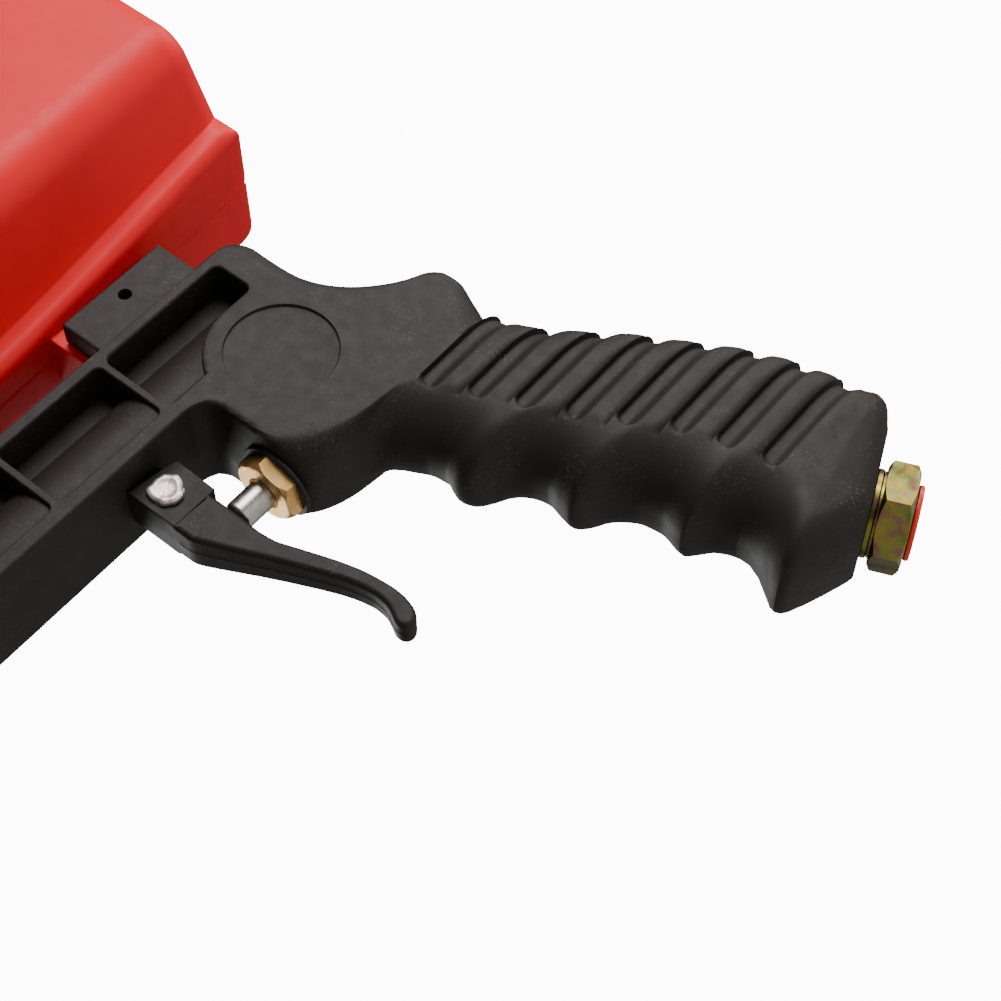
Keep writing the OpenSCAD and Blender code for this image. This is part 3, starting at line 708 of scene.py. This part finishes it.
    def section(
        self, f: Vector, b: Vector, half: float, fx: float, fy: float, bx: float, by: float
    ) -> list[Vector]:
        """One section of the body between its front and back points.

        Args:
            f: front point.
            b: back point.
            half: half width.
            fx: reach of the front corners along the section.
            fy: reach of the front corners across the gun.
            bx: reach of the back corners along the section.
            by: reach of the back corners across the gun.

        Returns:
            Evenly spaced points, grooves cut in.
        """
        d = (b - f).length
        u = (b - f) / d
        across = Vector((0, 1, 0))
        path: list[Vector] = []
        for sx, sy, rx, ry in ((0, 1, fx, fy), (1, 1, bx, by), (1, -1, bx, by), (0, -1, fx, fy)):
            cx = rx if sx == 0 else d - rx
            cy = sy * (half - ry)
            start = {(0, 1): 180, (1, 1): 90, (1, -1): 0, (0, -1): -90}[(sx, sy)]
            for i in range(17):
                a = math.radians(start - 90 * i / 16)
                path.append(Vector((cx + rx * math.cos(a), cy + ry * math.sin(a), 0)))
        path = [Vector((0, 0, 0))] + path
        flat = spaced(path, self.ring_points)
        out: list[Vector] = []
        for i, p in enumerate(flat):
            before, after = flat[i - 1], flat[(i + 1) % len(flat)]
            along = (after - before).normalized()
            inward = Vector((along.y, -along.x, 0))
            place = f + u * p.x + across * p.y
            deep = self.groove(place.z) if place.z < self.ridge_top else 0.0
            if deep != 0:
                deep *= ease((place.x - self.groove_end(place.z)) / 0.8)
                p = p + inward * deep
                place = f + u * p.x + across * p.y
            out.append(place)
        return out

    def grip(self) -> BMesh:
        """Head, valve boss and grip in one skin."""
        front = sorted(self.front)
        back = sorted(self.back)
        rings = []
        for z in self.heights():
            top = max(0.0, z - 26.4)
            inset = 0.8 - math.sqrt(max(0.0, 0.64 - top * top))
            t = ease((-12 - z) / 12)
            s = ease((-14 - z) / 17)
            f = Vector((through(front, z), 0, z))
            b = Vector((through(back, z) - inset, 0, z))
            half = lerp(self.half, self.butt_half, (-18 - z) / 52) - inset
            d = (b - f).length
            fx, fy = min(0.48 * d, lerp(1.0, 15, t)), lerp(1.0, 12.4, t)
            if VALVE_Z - self.boss_deep < z < VALVE_Z:
                flat = self.half * math.sqrt(max(0.0, 1 - ((VALVE_Z - z) / self.boss_deep) ** 2))
                fy = min(half - 0.3, max(fy, self.half - flat))
                fx = min(15.0, max(fx, 1.3 * (self.half - flat)))
            bx, by = min(0.5 * d, lerp(4.0, 14, s)), lerp(4.0, 11.5, s)
            rings.append(self.section(f, b, half, fx, fy, bx, by))
        for f, b, half, nose in self.butt:
            ends = (Vector((f[0], 0, f[1])), Vector((b[0], 0, b[1])))
            rings.append(self.section(*ends, half, nose, min(12.4, nose + 0.6), 14, min(11.5, half - 0.4)))
        return loft(rings)

    def pocket(self, x0: float, x1: float, z0: float, z1: float, side: Side) -> BMesh:
        """A side pocket with round corners and a flared rim."""
        rings = []
        deep = 4.2
        for y, grow in ((deep, 0.0), (11.5, 0.12), (11.75, 0.2), (11.93, 0.38), (12.05, 0.6), (12.4, 0.6)):
            outline = rounded_box(x1 - x0 + 2 * grow, z1 - z0 + 2 * grow, 1.3 + grow, 5)
            mid = Vector(((x0 + x1) / 2, side.value * y, (z0 + z1) / 2))
            rings.append([mid + Vector((p.x, 0, p.y)) for p in outline])
        return loft(rings)

    def pockets(self, side: Side) -> Solid:
        """All pockets of one side, left around the barrel and the badge disc."""
        lo, hi = 7.5, 24.2
        tool = Solid("pockets")
        tool.take(self.pocket(-23.0, 0.4, lo, hi, side))
        tool.add(self.pocket(-16.0, 7.5, 15.15, hi, side))
        for x in (-51.0, -79.0, -104.8):
            tool.add(self.pocket(x, x + (26.0 if x > -100 else 23.8), lo, hi, side))
        tool.cut(rod(-115, 20, 11.0, 9.5, 96))
        disc = [(0, 0), (15.1, 0), (15.1, 11.5), (14.9, 11.85), (14.5, 12.0), (14.5, 13), (0, 13)]
        tool.cut(mirrored(along_y(turned(disc, 128), 0, 0, 0), side))
        return tool

    def ear(self, side: Side) -> BMesh:
        """One of the two ears that hold the hopper's tongue."""
        return mirrored(block((-22.2, 6.3, 26.0), (4.3, 11.94, 37.0), 0.6, 3), side)

    def build(self, black: Material) -> None:
        """Makes the moulding and dresses it.

        Args:
            black: the body's plastic.
        """
        body = Solid("gun_body_shell").take(self.grip())
        low, high = (self.beam_front, -self.half, self.beam_low), (-20, self.half, self.beam_high)
        body.add(block(low, high, 0.7, 3))
        for side in Side:
            body.add(self.ear(side))
        body.add(turned_up(FEED_X, BARREL_Z, 26.7, 11.2))
        body.add(pin(*PIVOT, -2.4, 2.4, 4.2))
        body.add(block((-38.6, -2.4, -2.0), (-30.2, 2.4, 5.0), 0.3, 2))
        body.add(rod(-121, -107, 10, BARREL_Z, 64))
        recess = [(0, 11.4), (10.9, 11.4), (11.2, 11.6), (11.2, 11.85), (11.4, 12.05), (11.4, 13), (0, 13)]
        for side in Side:
            body.cut(self.pockets(side).hand_over())
            body.cut(mirrored(along_y(turned(recess, 96), 0, 0, 0), side))
        body.cut(pin(*EAR_HOLE, -14, 0, 1.4))
        body.cut(pin(*EAR_HOLE, 0, 14, 1.7))
        body.cut(pin(*PIVOT, -5, 5, 2.06))
        body.cut(rod(-122, 6, 6, BARREL_Z, 64))
        body.cut(turned_up(FEED_X, BARREL_Z, 40, 8.2))
        body.cut(rod(-18, 17, 6.5, VALVE_Z, 64))
        body.cut(turned_up(-5.4, VALVE_Z, BARREL_Z, 2.8))
        passage = turned([(0, -98), (3.4, -98), (3.4, -16.5), (7.7, -16.5), (7.7, 1), (0, 1)], 48)
        body.cut(moved(passage, ON_INLET))
        body.finish("gun", ["gun_body"], "body_plastic", black, smooth=34)


# ---- Air inlet -------------------------------------------------------------------


@dataclass
class AirInlet:
    """Washer, hexagon fitting and red shipping plug at the butt."""

    flats: float = 19.0
    hex_low: float = 1.75
    hex_high: float = 7.9

    def hexagon(self, flats: float, low: float, high: float, chamfer: float) -> BMesh:
        """A hexagon turned off at a slant at both ends."""
        hexa = Solid("hex").take(six_sided(flats, low, high, -11))
        r = flats / math.sqrt(3) + 0.02
        inner = flats / 2 - 0.15
        edge = (r - inner) * math.tan(math.radians(chamfer))
        lathe = [(0, low), (inner, low), (r, low + edge), (r, high - edge), (inner, high), (0, high)]
        hexa.join(turned(lathe, 96), Join.KEEP)
        return hexa.hand_over()

    def build(self, zinc: Material, red: Material) -> None:
        """Makes the three pieces.

        Args:
            zinc: yellow passivated steel.
            red: the plug's plastic.
        """
        shank = [(0, -16), (7.6, -16), (7.6, 1.3), (8.35, 1.35), (8.35, 2.45), (0, 2.45)]
        fitting = Solid("inlet_hexagon").take(turned(shank, 96))
        fitting.add(self.hexagon(self.flats, self.hex_low, self.hex_high, 28))
        bore = [(0, -17), (3.4, -17), (3.4, -6.1), (5.72, -6.1), (5.72, 7.2), (6.5, 7.95), (6.5, 9), (0, 9)]
        fitting.cut(turned(bore, 96))
        fitting.move(ON_INLET).finish("gun", ["air_inlet_fitting"], "zinc", zinc, smooth=24)
        ring = [(7.7, 0.02), (8.35, 0.02), (8.6, 0.25), (8.6, 1.05), (8.35, 1.28), (7.7, 1.28)]
        washer = Solid("inlet_washer_ring").take(turned(ring, 96))
        washer.move(ON_INLET).finish("gun", ["inlet_washer"], "zinc", zinc, smooth=30)
        face = self.hex_high
        rim = [(0, 0.75), (6.2, 0.78), (6.5, 1.0), (6.9, 1.25), (7.15, 1.15), (7.3, 0.8), (7.25, 0.35)]
        rim += [(7.0, 0.18), (5.66, 0.18), (5.66, -7.7), (5.4, -8), (4.3, -8), (4.3, -0.8), (0, -0.8)]
        plug = Solid("shipping_plug").take(turned([(r, face + z) for r, z in rim], 96))
        plug.move(ON_INLET).finish("inlet_plug", ["inlet_plug"], "plug_plastic", red, smooth=40)


# ---- Air valve -------------------------------------------------------------------


@dataclass
class AirValve:
    """Brass bonnet with its black ring, and the steel stem the trigger pushes."""

    flats: float = 12.8

    def build(self, brass: Material, steel: Material, rubber: Material) -> None:
        """Makes bonnet, ring and stem.

        Args:
            brass: turned brass.
            steel: ground steel.
            rubber: black nitrile.
        """
        lay = Matrix.Translation((0, 0, VALVE_Z)) @ turn(90, "Y")
        r = self.flats / math.sqrt(3)
        bonnet = Solid("brass_bonnet").take(six_sided(self.flats, -21.1, -17.9, 20))
        lathe = [(0, -21.1), (6.1, -21.1), (6.6, -20.9), (r + 0.02, -20.0), (r + 0.02, -17.9), (0, -17.9)]
        bonnet.join(turned(lathe, 96), Join.KEEP)
        bonnet.add(turned([(0, -18), (6.4, -18), (6.4, -8.6), (6.2, -8.4), (0, -8.4)], 80))
        bore = [(0, -22), (3.7, -22), (3.7, -21.0), (3.16, -20.4), (3.16, -13), (4.8, -13)]
        bore += [(4.8, -11), (3.16, -11), (3.16, -7), (0, -7)]
        bonnet.cut(turned(bore, 64))
        bonnet.move(lay).finish("gun", ["valve_bonnet"], "brass", brass, smooth=24)
        band = [(6.45, -17.88), (8.1, -17.88), (8.3, -17.7), (8.3, -17.15), (8.15, -17.02), (6.45, -17.02)]
        ring = Solid("bonnet_ring").take(turned(band, 80))
        ring.move(lay).finish("gun", ["bonnet_seal_ring"], "rubber", rubber, smooth=40)
        nose = [(0, -29.05), (1.2, -28.93), (2.1, -28.65), (2.6, -28.4), (3.0, -28.05), (3.1, -27.7)]
        tail = [(3.1, -8.5), (1.6, -8.41), (1.6, 3.9), (3.0, 3.9), (3.0, 5.1), (0, 5.1)]
        stem = Solid("valve_stem_rod").take(turned(nose + tail, 64))
        stem.move(lay).finish("valve", ["valve_stem"], "steel", steel, smooth=35)


# ---- Trigger ---------------------------------------------------------------------


@dataclass
class TriggerLever:
    """The curved trigger with its two cheeks, and the peened rivet it turns on."""

    cheek: float = 4.9
    outline: tuple = (
        (-39.2, 3.65), (-39.2, -12.4), (-38.3, -14.6), (-37.0, -17.4), (-35.6, -20.4),
        (-33.8, -24.2), (-31.8, -29.0), (-29.9, -34.0), (-28.3, -38.5), (-27.4, -42.0),
        (-26.9, -45.5), (-27.2, -48.6), (-28.1, -50.6), (-29.1, -52.2), (-29.3, -53.4),
        (-28.9, -54.6), (-27.8, -55.3), (-26.4, -55.2), (-25.2, -54.3), (-24.4, -52.9),
        (-23.7, -50.6), (-23.4, -48.0), (-23.6, -44.5), (-24.1, -40.5), (-25.0, -36.6),
        (-26.2, -32.6), (-27.6, -28.4), (-29.0, -24.4), (-29.4, -21.0), (-29.4, -9.6),
        (-29.6, -8.6), (-29.6, 2.2),
    )

    def build(self, black: Material, metal: Material) -> None:
        """Makes the trigger and its rivet.

        Args:
            black: the body's plastic.
            metal: peened aluminium.
        """
        lever = Solid("trigger_lever").take(self.blade())
        corners = [(-39.2, 3.65), (-39.2, -8.2), (-38.9, -8.5), (-28.5, -8.5), (-28.2, -8.2)]
        cheeks = plate(corners + [(-28.0, 1.2), (-28.6, 2.0)], self.cheek)
        edges = [e for e in cheeks.edges if abs(e.verts[0].co.y - e.verts[1].co.y) < 1e-4]
        soften(cheeks, edges, 0.35, 2)
        lever.add(cheeks)
        lever.cut(block((-38.95, -2.75, -7.0), (-26, 2.75, 15), 0.1, 1))
        lever.cut(pin(*PIVOT, -6, 6, 2.05))
        lever.finish("trigger", ["trigger"], "body_plastic", black, smooth=32)
        head = [(0, -4.5), (2.0, -4.5), (2.0, 4.91), (3.2, 4.91), (3.42, 5.1), (3.45, 5.45), (3.3, 5.9)]
        head += [(2.9, 6.12), (2.5, 6.2), (2.1, 6.12), (1.7, 5.95), (1.0, 5.9), (0, 5.98)]
        rivet = Solid("peened_rivet").take(self.peen(turned(head, 56)))
        place = Matrix.Translation((PIVOT[0], 0, PIVOT[1]))
        rivet.move(place @ turn(90, "X"))
        rivet.add(moved(self.peen(turned(head, 56)), place @ turn(-90, "X")))
        rivet.finish("trigger", ["trigger_rivet"], "rivet_metal", metal, smooth=26)

    def half_at(self, z: float) -> float:
        """Half width of the blade at height z."""
        return through([(-56, 3.3), (-50, 3.2), (-36, 3.6), (-22, 4.2), (-12, 4.7), (4, 4.7)], z)

    def blade(self) -> BMesh:
        """The blade, its side edges rounded over."""
        path = [Vector((x, 0, z)) for x, z in self.outline]
        line = spaced(path, 240)
        for _ in range(3):
            near = [(line[i - 1], p, line[(i + 1) % len(line)]) for i, p in enumerate(line)]
            line = [p if p.z > -9 else (before + p * 2 + after) / 4 for before, p, after in near]
        for p in line:
            p.x += 1.1 * ease((-20 - p.z) / 30)
        rings = []
        r = 1.1
        quarter = [(1 - math.sin(a), 1 - math.cos(a)) for a in (math.radians(15 * i) for i in range(7))]
        stops = [(-1, *q) for q in quarter] + [(-0.06, 0, 0), (0, -0.1, 0), (0.06, 0, 0)]
        stops += [(1, *q) for q in reversed(quarter)]
        for y, inset, drop in stops:
            ring = []
            for k, p in enumerate(line):
                way = (line[(k + 1) % len(line)] - line[k - 1]).normalized()
                give = (0.4 if p.z > -9 else 1.0) * (1.0 if way.z < -0.3 or inset > 0 else 0.0)
                q = p + Vector((-way.z, 0, way.x)) * inset * r * give
                half = self.half_at(p.z)
                q.y = y * (half - r * drop)
                ring.append(q)
            rings.append(ring)
        return loft(rings)

    def peen(self, bm: BMesh) -> BMesh:
        """Gives a rivet head the uneven rim that hammering leaves."""
        for v in bm.verts:
            r = math.hypot(v.co.x, v.co.y)
            if v.co.z > 5.0 and r > 0.5:
                a = math.atan2(v.co.y, v.co.x)
                wave = 0.16 * math.sin(3 * a + 0.6) + 0.1 * math.sin(5 * a + 2.0) + 0.05 * math.sin(9 * a)
                v.co.x *= 1 + wave * 0.35 * (r / 3.4)
                v.co.y *= 1 + wave * 0.35 * (r / 3.4)
                v.co.z += wave * 0.7 * (r / 3.4) - 0.06
        return bm


# ---- Hopper ----------------------------------------------------------------------


@dataclass
class Hopper:
    """The red hopper: two moulded halves with a feed channel under the bin."""

    wall: float = 2.2
    back: float = 35.6
    front: float = -97.0
    half: float = 35.5
    top: float = 104.0
    corner: float = 10.0
    keel: float = 42.4
    fall: float = 2.1
    shelf: float = 5.6
    rise: float = 4.5

    def keel_low(self, x: float) -> float:
        """Height of the channel's underside at x."""
        return self.keel - (self.back - x) * math.tan(math.radians(self.fall))

    def section(self, x: float, d: float) -> list[Vector]:
        """Closed outline of the hopper at x, drawn in by d all round."""
        low = self.keel_low(x) + (d if d > 2.0 and x < 0 else 0.4 * d)
        k = through([(-97, 10.0), (-84, 10.0), (-45, 8.6), (34.6, 17.4)], x) - d
        crease = self.keel_low(x) + self.shelf + d * 0.8
        w, top = self.half - d, self.top - d
        r0, r = max(0.6, 3.0 - d), max(1.0, self.corner - d)
        right: list[tuple[float, float]] = [(0.0, low)]
        right += [(k * i, low) for i in (0.05, 0.12, 0.2, 0.4, 0.6)]
        right += arc(k - r0, low + r0, r0, -90, 0, 6)
        right += [(k, lerp(low + r0, crease, i / 3)) for i in (1, 2)]
        right += [(k, crease - 0.16), (k + 0.12, crease)]
        c = (w - r, self.keel_low(x) + self.shelf + self.rise + self.corner)
        dy, dz = c[0] - k, c[1] - crease
        reach, phi = math.hypot(dy, dz), math.atan2(dz, dy)
        slope = phi - math.asin(min(1.0, r / reach))
        run = math.sqrt(max(0.0, reach**2 - r * r))
        dy, dz = run * math.cos(slope), run * math.sin(slope)
        right += [(k + dy * i / 5, crease + dz * i / 5) for i in (1, 2, 3, 4)]
        right += arc(*c, r, math.degrees(slope) - 90, 0, 12)
        right += [(w, lerp(c[1], top - r, i / 5)) for i in (1, 2, 3, 4)]
        right += arc(w - r, top - r, r, 0, 90, 12)
        right += [((w - r) * (1 - i / 4), top) for i in (1, 2, 3)] + [(0.0, top)]
        left = [(-y, z) for y, z in reversed(right[1:-1])]
        return [Vector((x, y, z)) for y, z in right + left]

    def skin(self, t: float) -> BMesh:
        """The hopper's outer skin, or its inner one when t is the wall."""
        rings = []
        r_front, r_back = self.corner - t, 6.0 - t
        for i in range(9):
            a = math.radians(90 * i / 8)
            x, d = r_front * (1 - math.sin(a)), r_front * (1 - math.cos(a))
            rings.append(self.section(self.front + t + x, t + d))
        rings = sorted(rings, key=lambda ring: ring[0].x)
        x0, x1 = self.front + self.corner, self.back - 6.0
        rings += [self.section(x0 + (x1 - x0) * i / 30, t) for i in range(1, 30)]
        for i in range(9):
            a = math.radians(90 * i / 8)
            x, d = r_back * (1 - math.sin(a)), r_back * (1 - math.cos(a))
            rings.append(self.section(self.back - t - x, t + d))
        return loft(rings)

    def groove(self) -> list[BMesh]:
        """Cutters for the V where the two halves meet, under the channel and up the rear end."""
        corner = Matrix.Translation((self.back, 0, self.keel - 0.1))
        tilt = corner @ turn(-self.fall, "Y") @ turn(45, "X")
        under = moved(block((-140, -0.5, -0.5), (60, 0.5, 0.5)), tilt)
        notch = [(3.0, -6.0), (0.03, -4.6), (-0.15, -2.8), (-0.45, -1.5), (-0.85, -0.7), (-1.5, 0.0)]
        notch += [(-0.85, 0.7), (-0.45, 1.5), (-0.15, 2.8), (0.03, 4.6), (3.0, 6.0)]
        rear = plate([(self.back + x, y) for x, y in notch], 40)
        return [under, moved(rear, Matrix.Translation((0, 0, 70)) @ turn(90, "X"))]

    def build(self, red: Material) -> None:
        """Makes the two halves.

        Args:
            red: the hopper's plastic.
        """
        for side in Side:
            shell = Solid("hopper_" + side.name.lower()).take(self.skin(0.0))
            shell.add(turned_up(FEED_X, 29.2, 46, 10.0))
            shell.add(turned_up(FEED_X, 18.7, 40, 8.1))
            shell.add(block((-23.5, -6, 27.55), (3.0, 6, 46), 0.4, 2))
            for cutter in self.groove():
                shell.cut(cutter)
            shell.cut(self.skin(self.wall))
            shell.cut(turned_up(FEED_X, 17, 46, 5.2))
            shell.cut(turned_up(-32, 94, 120, 20.5))
            shell.cut(pin(*EAR_HOLE, -12, 12, 1.7))
            y0, y1 = (-0.01, 80) if side is Side.NEAR else (-80, 0.01)
            shell.cut(block((-200, y0, -50), (200, y1, 250)))
            node = "hopper_left_shell" if side is Side.NEAR else "hopper_right_shell"
            shell.finish("gun", [node], "hopper_plastic", red, smooth=30)


# ---- Carried-over pieces ---------------------------------------------------------


@dataclass(frozen=True)
class Kept:
    """A piece shown straight from the frame, with its edges softened."""

    node: str
    finish: str
    edge_mm: float = 0.25

    def dress(self, finishes: dict[str, Material]) -> None:
        """Softens the piece's edges and gives it its finish.

        Args:
            finishes: materials by name.
        """
        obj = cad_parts[self.node]
        obj.data.materials.clear()
        obj.data.materials.append(finishes[self.finish])
        weld = obj.modifiers.new("weld", "WELD")
        weld.merge_threshold = 1e-6
        if self.edge_mm > 0:
            edge = obj.modifiers.new("edge", "BEVEL")
            edge.width = self.edge_mm * MM
            edge.segments = 2
            edge.limit_method = "ANGLE"
            edge.angle_limit = math.radians(40)


KEPT = (
    Kept("stem_o_ring", "rubber", 0.0),
    Kept("valve_poppet", "rubber", 0.2),
    Kept("valve_spring", "steel", 0.0),
    Kept("valve_seat", "brass", 0.15),
    Kept("hopper_screw", "steel", 0.25),
    Kept("feed_seal", "rubber", 0.2),
    Kept("filler_neck", "hopper red", 0.3),
    Kept("cap_gasket", "rubber", 0.2),
    Kept("filler_cap", "cap black", 0.35),
    Kept("barrel_tube", "steel", 0.15),
    Kept("air_jet", "brass", 0.15),
    Kept("jet_o_ring", "rubber", 0.0),
    Kept("nozzle_gasket", "rubber", 0.15),
    Kept("ceramic_nozzle", "ceramic", 0.3),
    Kept("nozzle_nut", "cap black", 0.35),
)


# ---- Studio ----------------------------------------------------------------------


@dataclass
class Studio:
    """Camera, soft lights and a pale floor well below the gun."""

    eye: tuple = (-0.2164735, -0.3270357, -0.0777449)
    right: tuple = (0.633023, -0.000960, -0.774133)
    up: tuple = (0.640451, -0.561091, 0.524405)
    back: tuple = (-0.434862, -0.827754, -0.354568)
    lens: float = 75.524
    backdrop: float = 12.0
    fill: float = 0.16
    floor_z: float = -0.36
    aim: Vector = field(default_factory=lambda: Vector((-0.05, 0.0, 0.09)))

    def camera(self) -> None:
        """Sets the camera."""
        data = bpy.data.cameras.new("camera")
        data.lens = self.lens
        data.sensor_width = 36
        obj = bpy.data.objects.new("camera", data)
        show(obj)
        axes = Matrix((self.right, self.up, self.back)).transposed().to_4x4()
        obj.matrix_world = Matrix.Translation(self.eye) @ axes
        bpy.context.scene.camera = obj

    def lamp(self, name: str, way: Vector, far: float, size: float, power: float, tint: str) -> None:
        """A square soft light, far metres from the gun towards way, turned to it."""
        data = bpy.data.lights.new(name, "AREA")
        data.energy = power
        data.size = size
        data.color = srgb(tint)[:3]
        obj = bpy.data.objects.new(name, data)
        show(obj)
        place = self.aim + way.normalized() * far
        facing = (self.aim - place).to_track_quat("-Z", "Y").to_matrix().to_4x4()
        obj.matrix_world = Matrix.Translation(place) @ facing

    def floor(self) -> None:
        """A pale floor."""
        mesh = bpy.data.meshes.new("floor")
        bm = bmesh.new()
        bmesh.ops.create_grid(bm, x_segments=1, y_segments=1, size=3.0)
        bmesh.ops.translate(bm, vec=(0, 0, self.floor_z), verts=bm.verts)
        bm.to_mesh(mesh)
        bm.free()
        sheet = Sheet("pale floor")
        mesh.materials.append(sheet.close(Base_Color=srgb("E8E8E6"), Roughness=0.9))
        obj = bpy.data.objects.new("floor", mesh)
        show(obj)

    def sky(self) -> None:
        """White behind the gun, and a dim even light on it."""
        world = bpy.data.worlds.new("studio")
        world.use_nodes = True
        bpy.context.scene.world = world
        tree = world.node_tree
        tree.nodes.clear()
        white = add_node(tree, "ShaderNodeBackground", i0=(1, 1, 1, 1), i1=self.backdrop)
        dim = add_node(tree, "ShaderNodeBackground", i0=(1, 1, 1, 1), i1=self.fill)
        seen = add_node(tree, "ShaderNodeLightPath").outputs["Is Camera Ray"]
        both = add_node(tree, "ShaderNodeMixShader", i0=seen, i1=dim.outputs[0], i2=white.outputs[0])
        add_node(tree, "ShaderNodeOutputWorld", i0=both.outputs[0])

    def build(self) -> None:
        """Sets up the whole studio."""
        self.camera()
        self.sky()
        self.floor()
        up = Vector(self.up)
        self.lamp("key", up * 1.1 + Vector((0.1, -1.0, 0.1)), 0.9, 0.5, 9.0, "FFFFFF")
        self.lamp("rear", Vector((1.0, -0.3, 0.25)), 0.9, 0.5, 3.0, "FFF6EE")
        self.lamp("low", Vector((-0.6, -0.3, -1.0)), 0.9, 0.6, 0.5, "F4F6FF")
        self.lamp("far", Vector((-0.4, 1.0, 0.8)), 0.9, 0.6, 4.0, "FFFFFF")


def finishes() -> dict[str, Material]:
    """Every finish used, by name."""
    fine = 0.004  # relief in mm of a smooth moulded or fired surface
    makers = {
        # black glass-filled nylon, moulded: nearly matt, with a little pale dust
        "body black": Plastic("black nylon", "1F1A16", "1D1815", "4E4741", rough=0.6, specks=0.6, shine=0.34),
        # moulded ABS of the cap and nut: smoother and slightly bluer than the body
        "cap black": Plastic(
            "black cap plastic", "1E1E21", "19191B", "55555A", rough=0.42, grain_deep_mm=0.006
        ),
        # moulded polyethylene: an even satin red
        "hopper red": Plastic(
            "red polyethylene", "F2101E", "EA0E1C", "F04C54",
            rough=0.5, grain_deep_mm=0.002, specks=0.85, shine=0.3,
        ),
        # soft moulded polyethylene of the plug: a brighter, shinier red
        "plug red": Plastic(
            "red plug plastic", "FF3A20", "FA3218", "FF7A66", rough=0.3, grain_deep_mm=fine, specks=0.85
        ),
        # moulded nitrile rubber: dead black and matt
        "rubber": Plastic(
            "black nitrile", "141414", "101010", "3C3C3C", rough=0.6, grain_deep_mm=fine, specks=0.8
        ),
        # fired ceramic: off-white with a soft gleam
        "ceramic": Plastic(
            "white ceramic", "E4DED0", "DAD2C2", "B8AE9C", rough=0.3, grain_deep_mm=fine, specks=0.8
        ),
        # turned brass: warm yellow with faint lines from the lathe
        "brass": Metal("turned brass", "F2C67C", "D0955A", rough=0.42, lines=(0.2, 1, 1)),
        # ground steel: grey, ringed by turning; the rings are coarser than real ones so that they show
        "steel": Metal("ground steel", "C8C4BE", "9A948C", rough=0.32, lines=(4, 0.5, 0.5), line_mm=0.9),
        # peened aluminium of the rivet: pale and dented by the hammer
        "rivet": Metal("peened aluminium", "DCCFCA", "A89A96", rough=0.45, line_mm=0.7, line_deep_mm=0.02),
        # yellow passivated zinc: straw, green and pink, as thin chromate films look
        "zinc": Passivated(),
    }
    return {name: maker.make() for name, maker in makers.items()}


def main() -> None:
    """Builds, dresses and lights the gun."""
    logging.basicConfig(level=logging.INFO, format="%(name)s: %(message)s")
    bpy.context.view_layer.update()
    looks = finishes()
    GunBody().build(looks["body black"])
    AirInlet().build(looks["zinc"], looks["plug red"])
    AirValve().build(looks["brass"], looks["steel"], looks["rubber"])
    TriggerLever().build(looks["body black"], looks["rivet"])
    Hopper().build(looks["hopper red"])
    for kept in KEPT:
        kept.dress(looks)
    Studio().build()


if __name__ == "__main__":
    main()
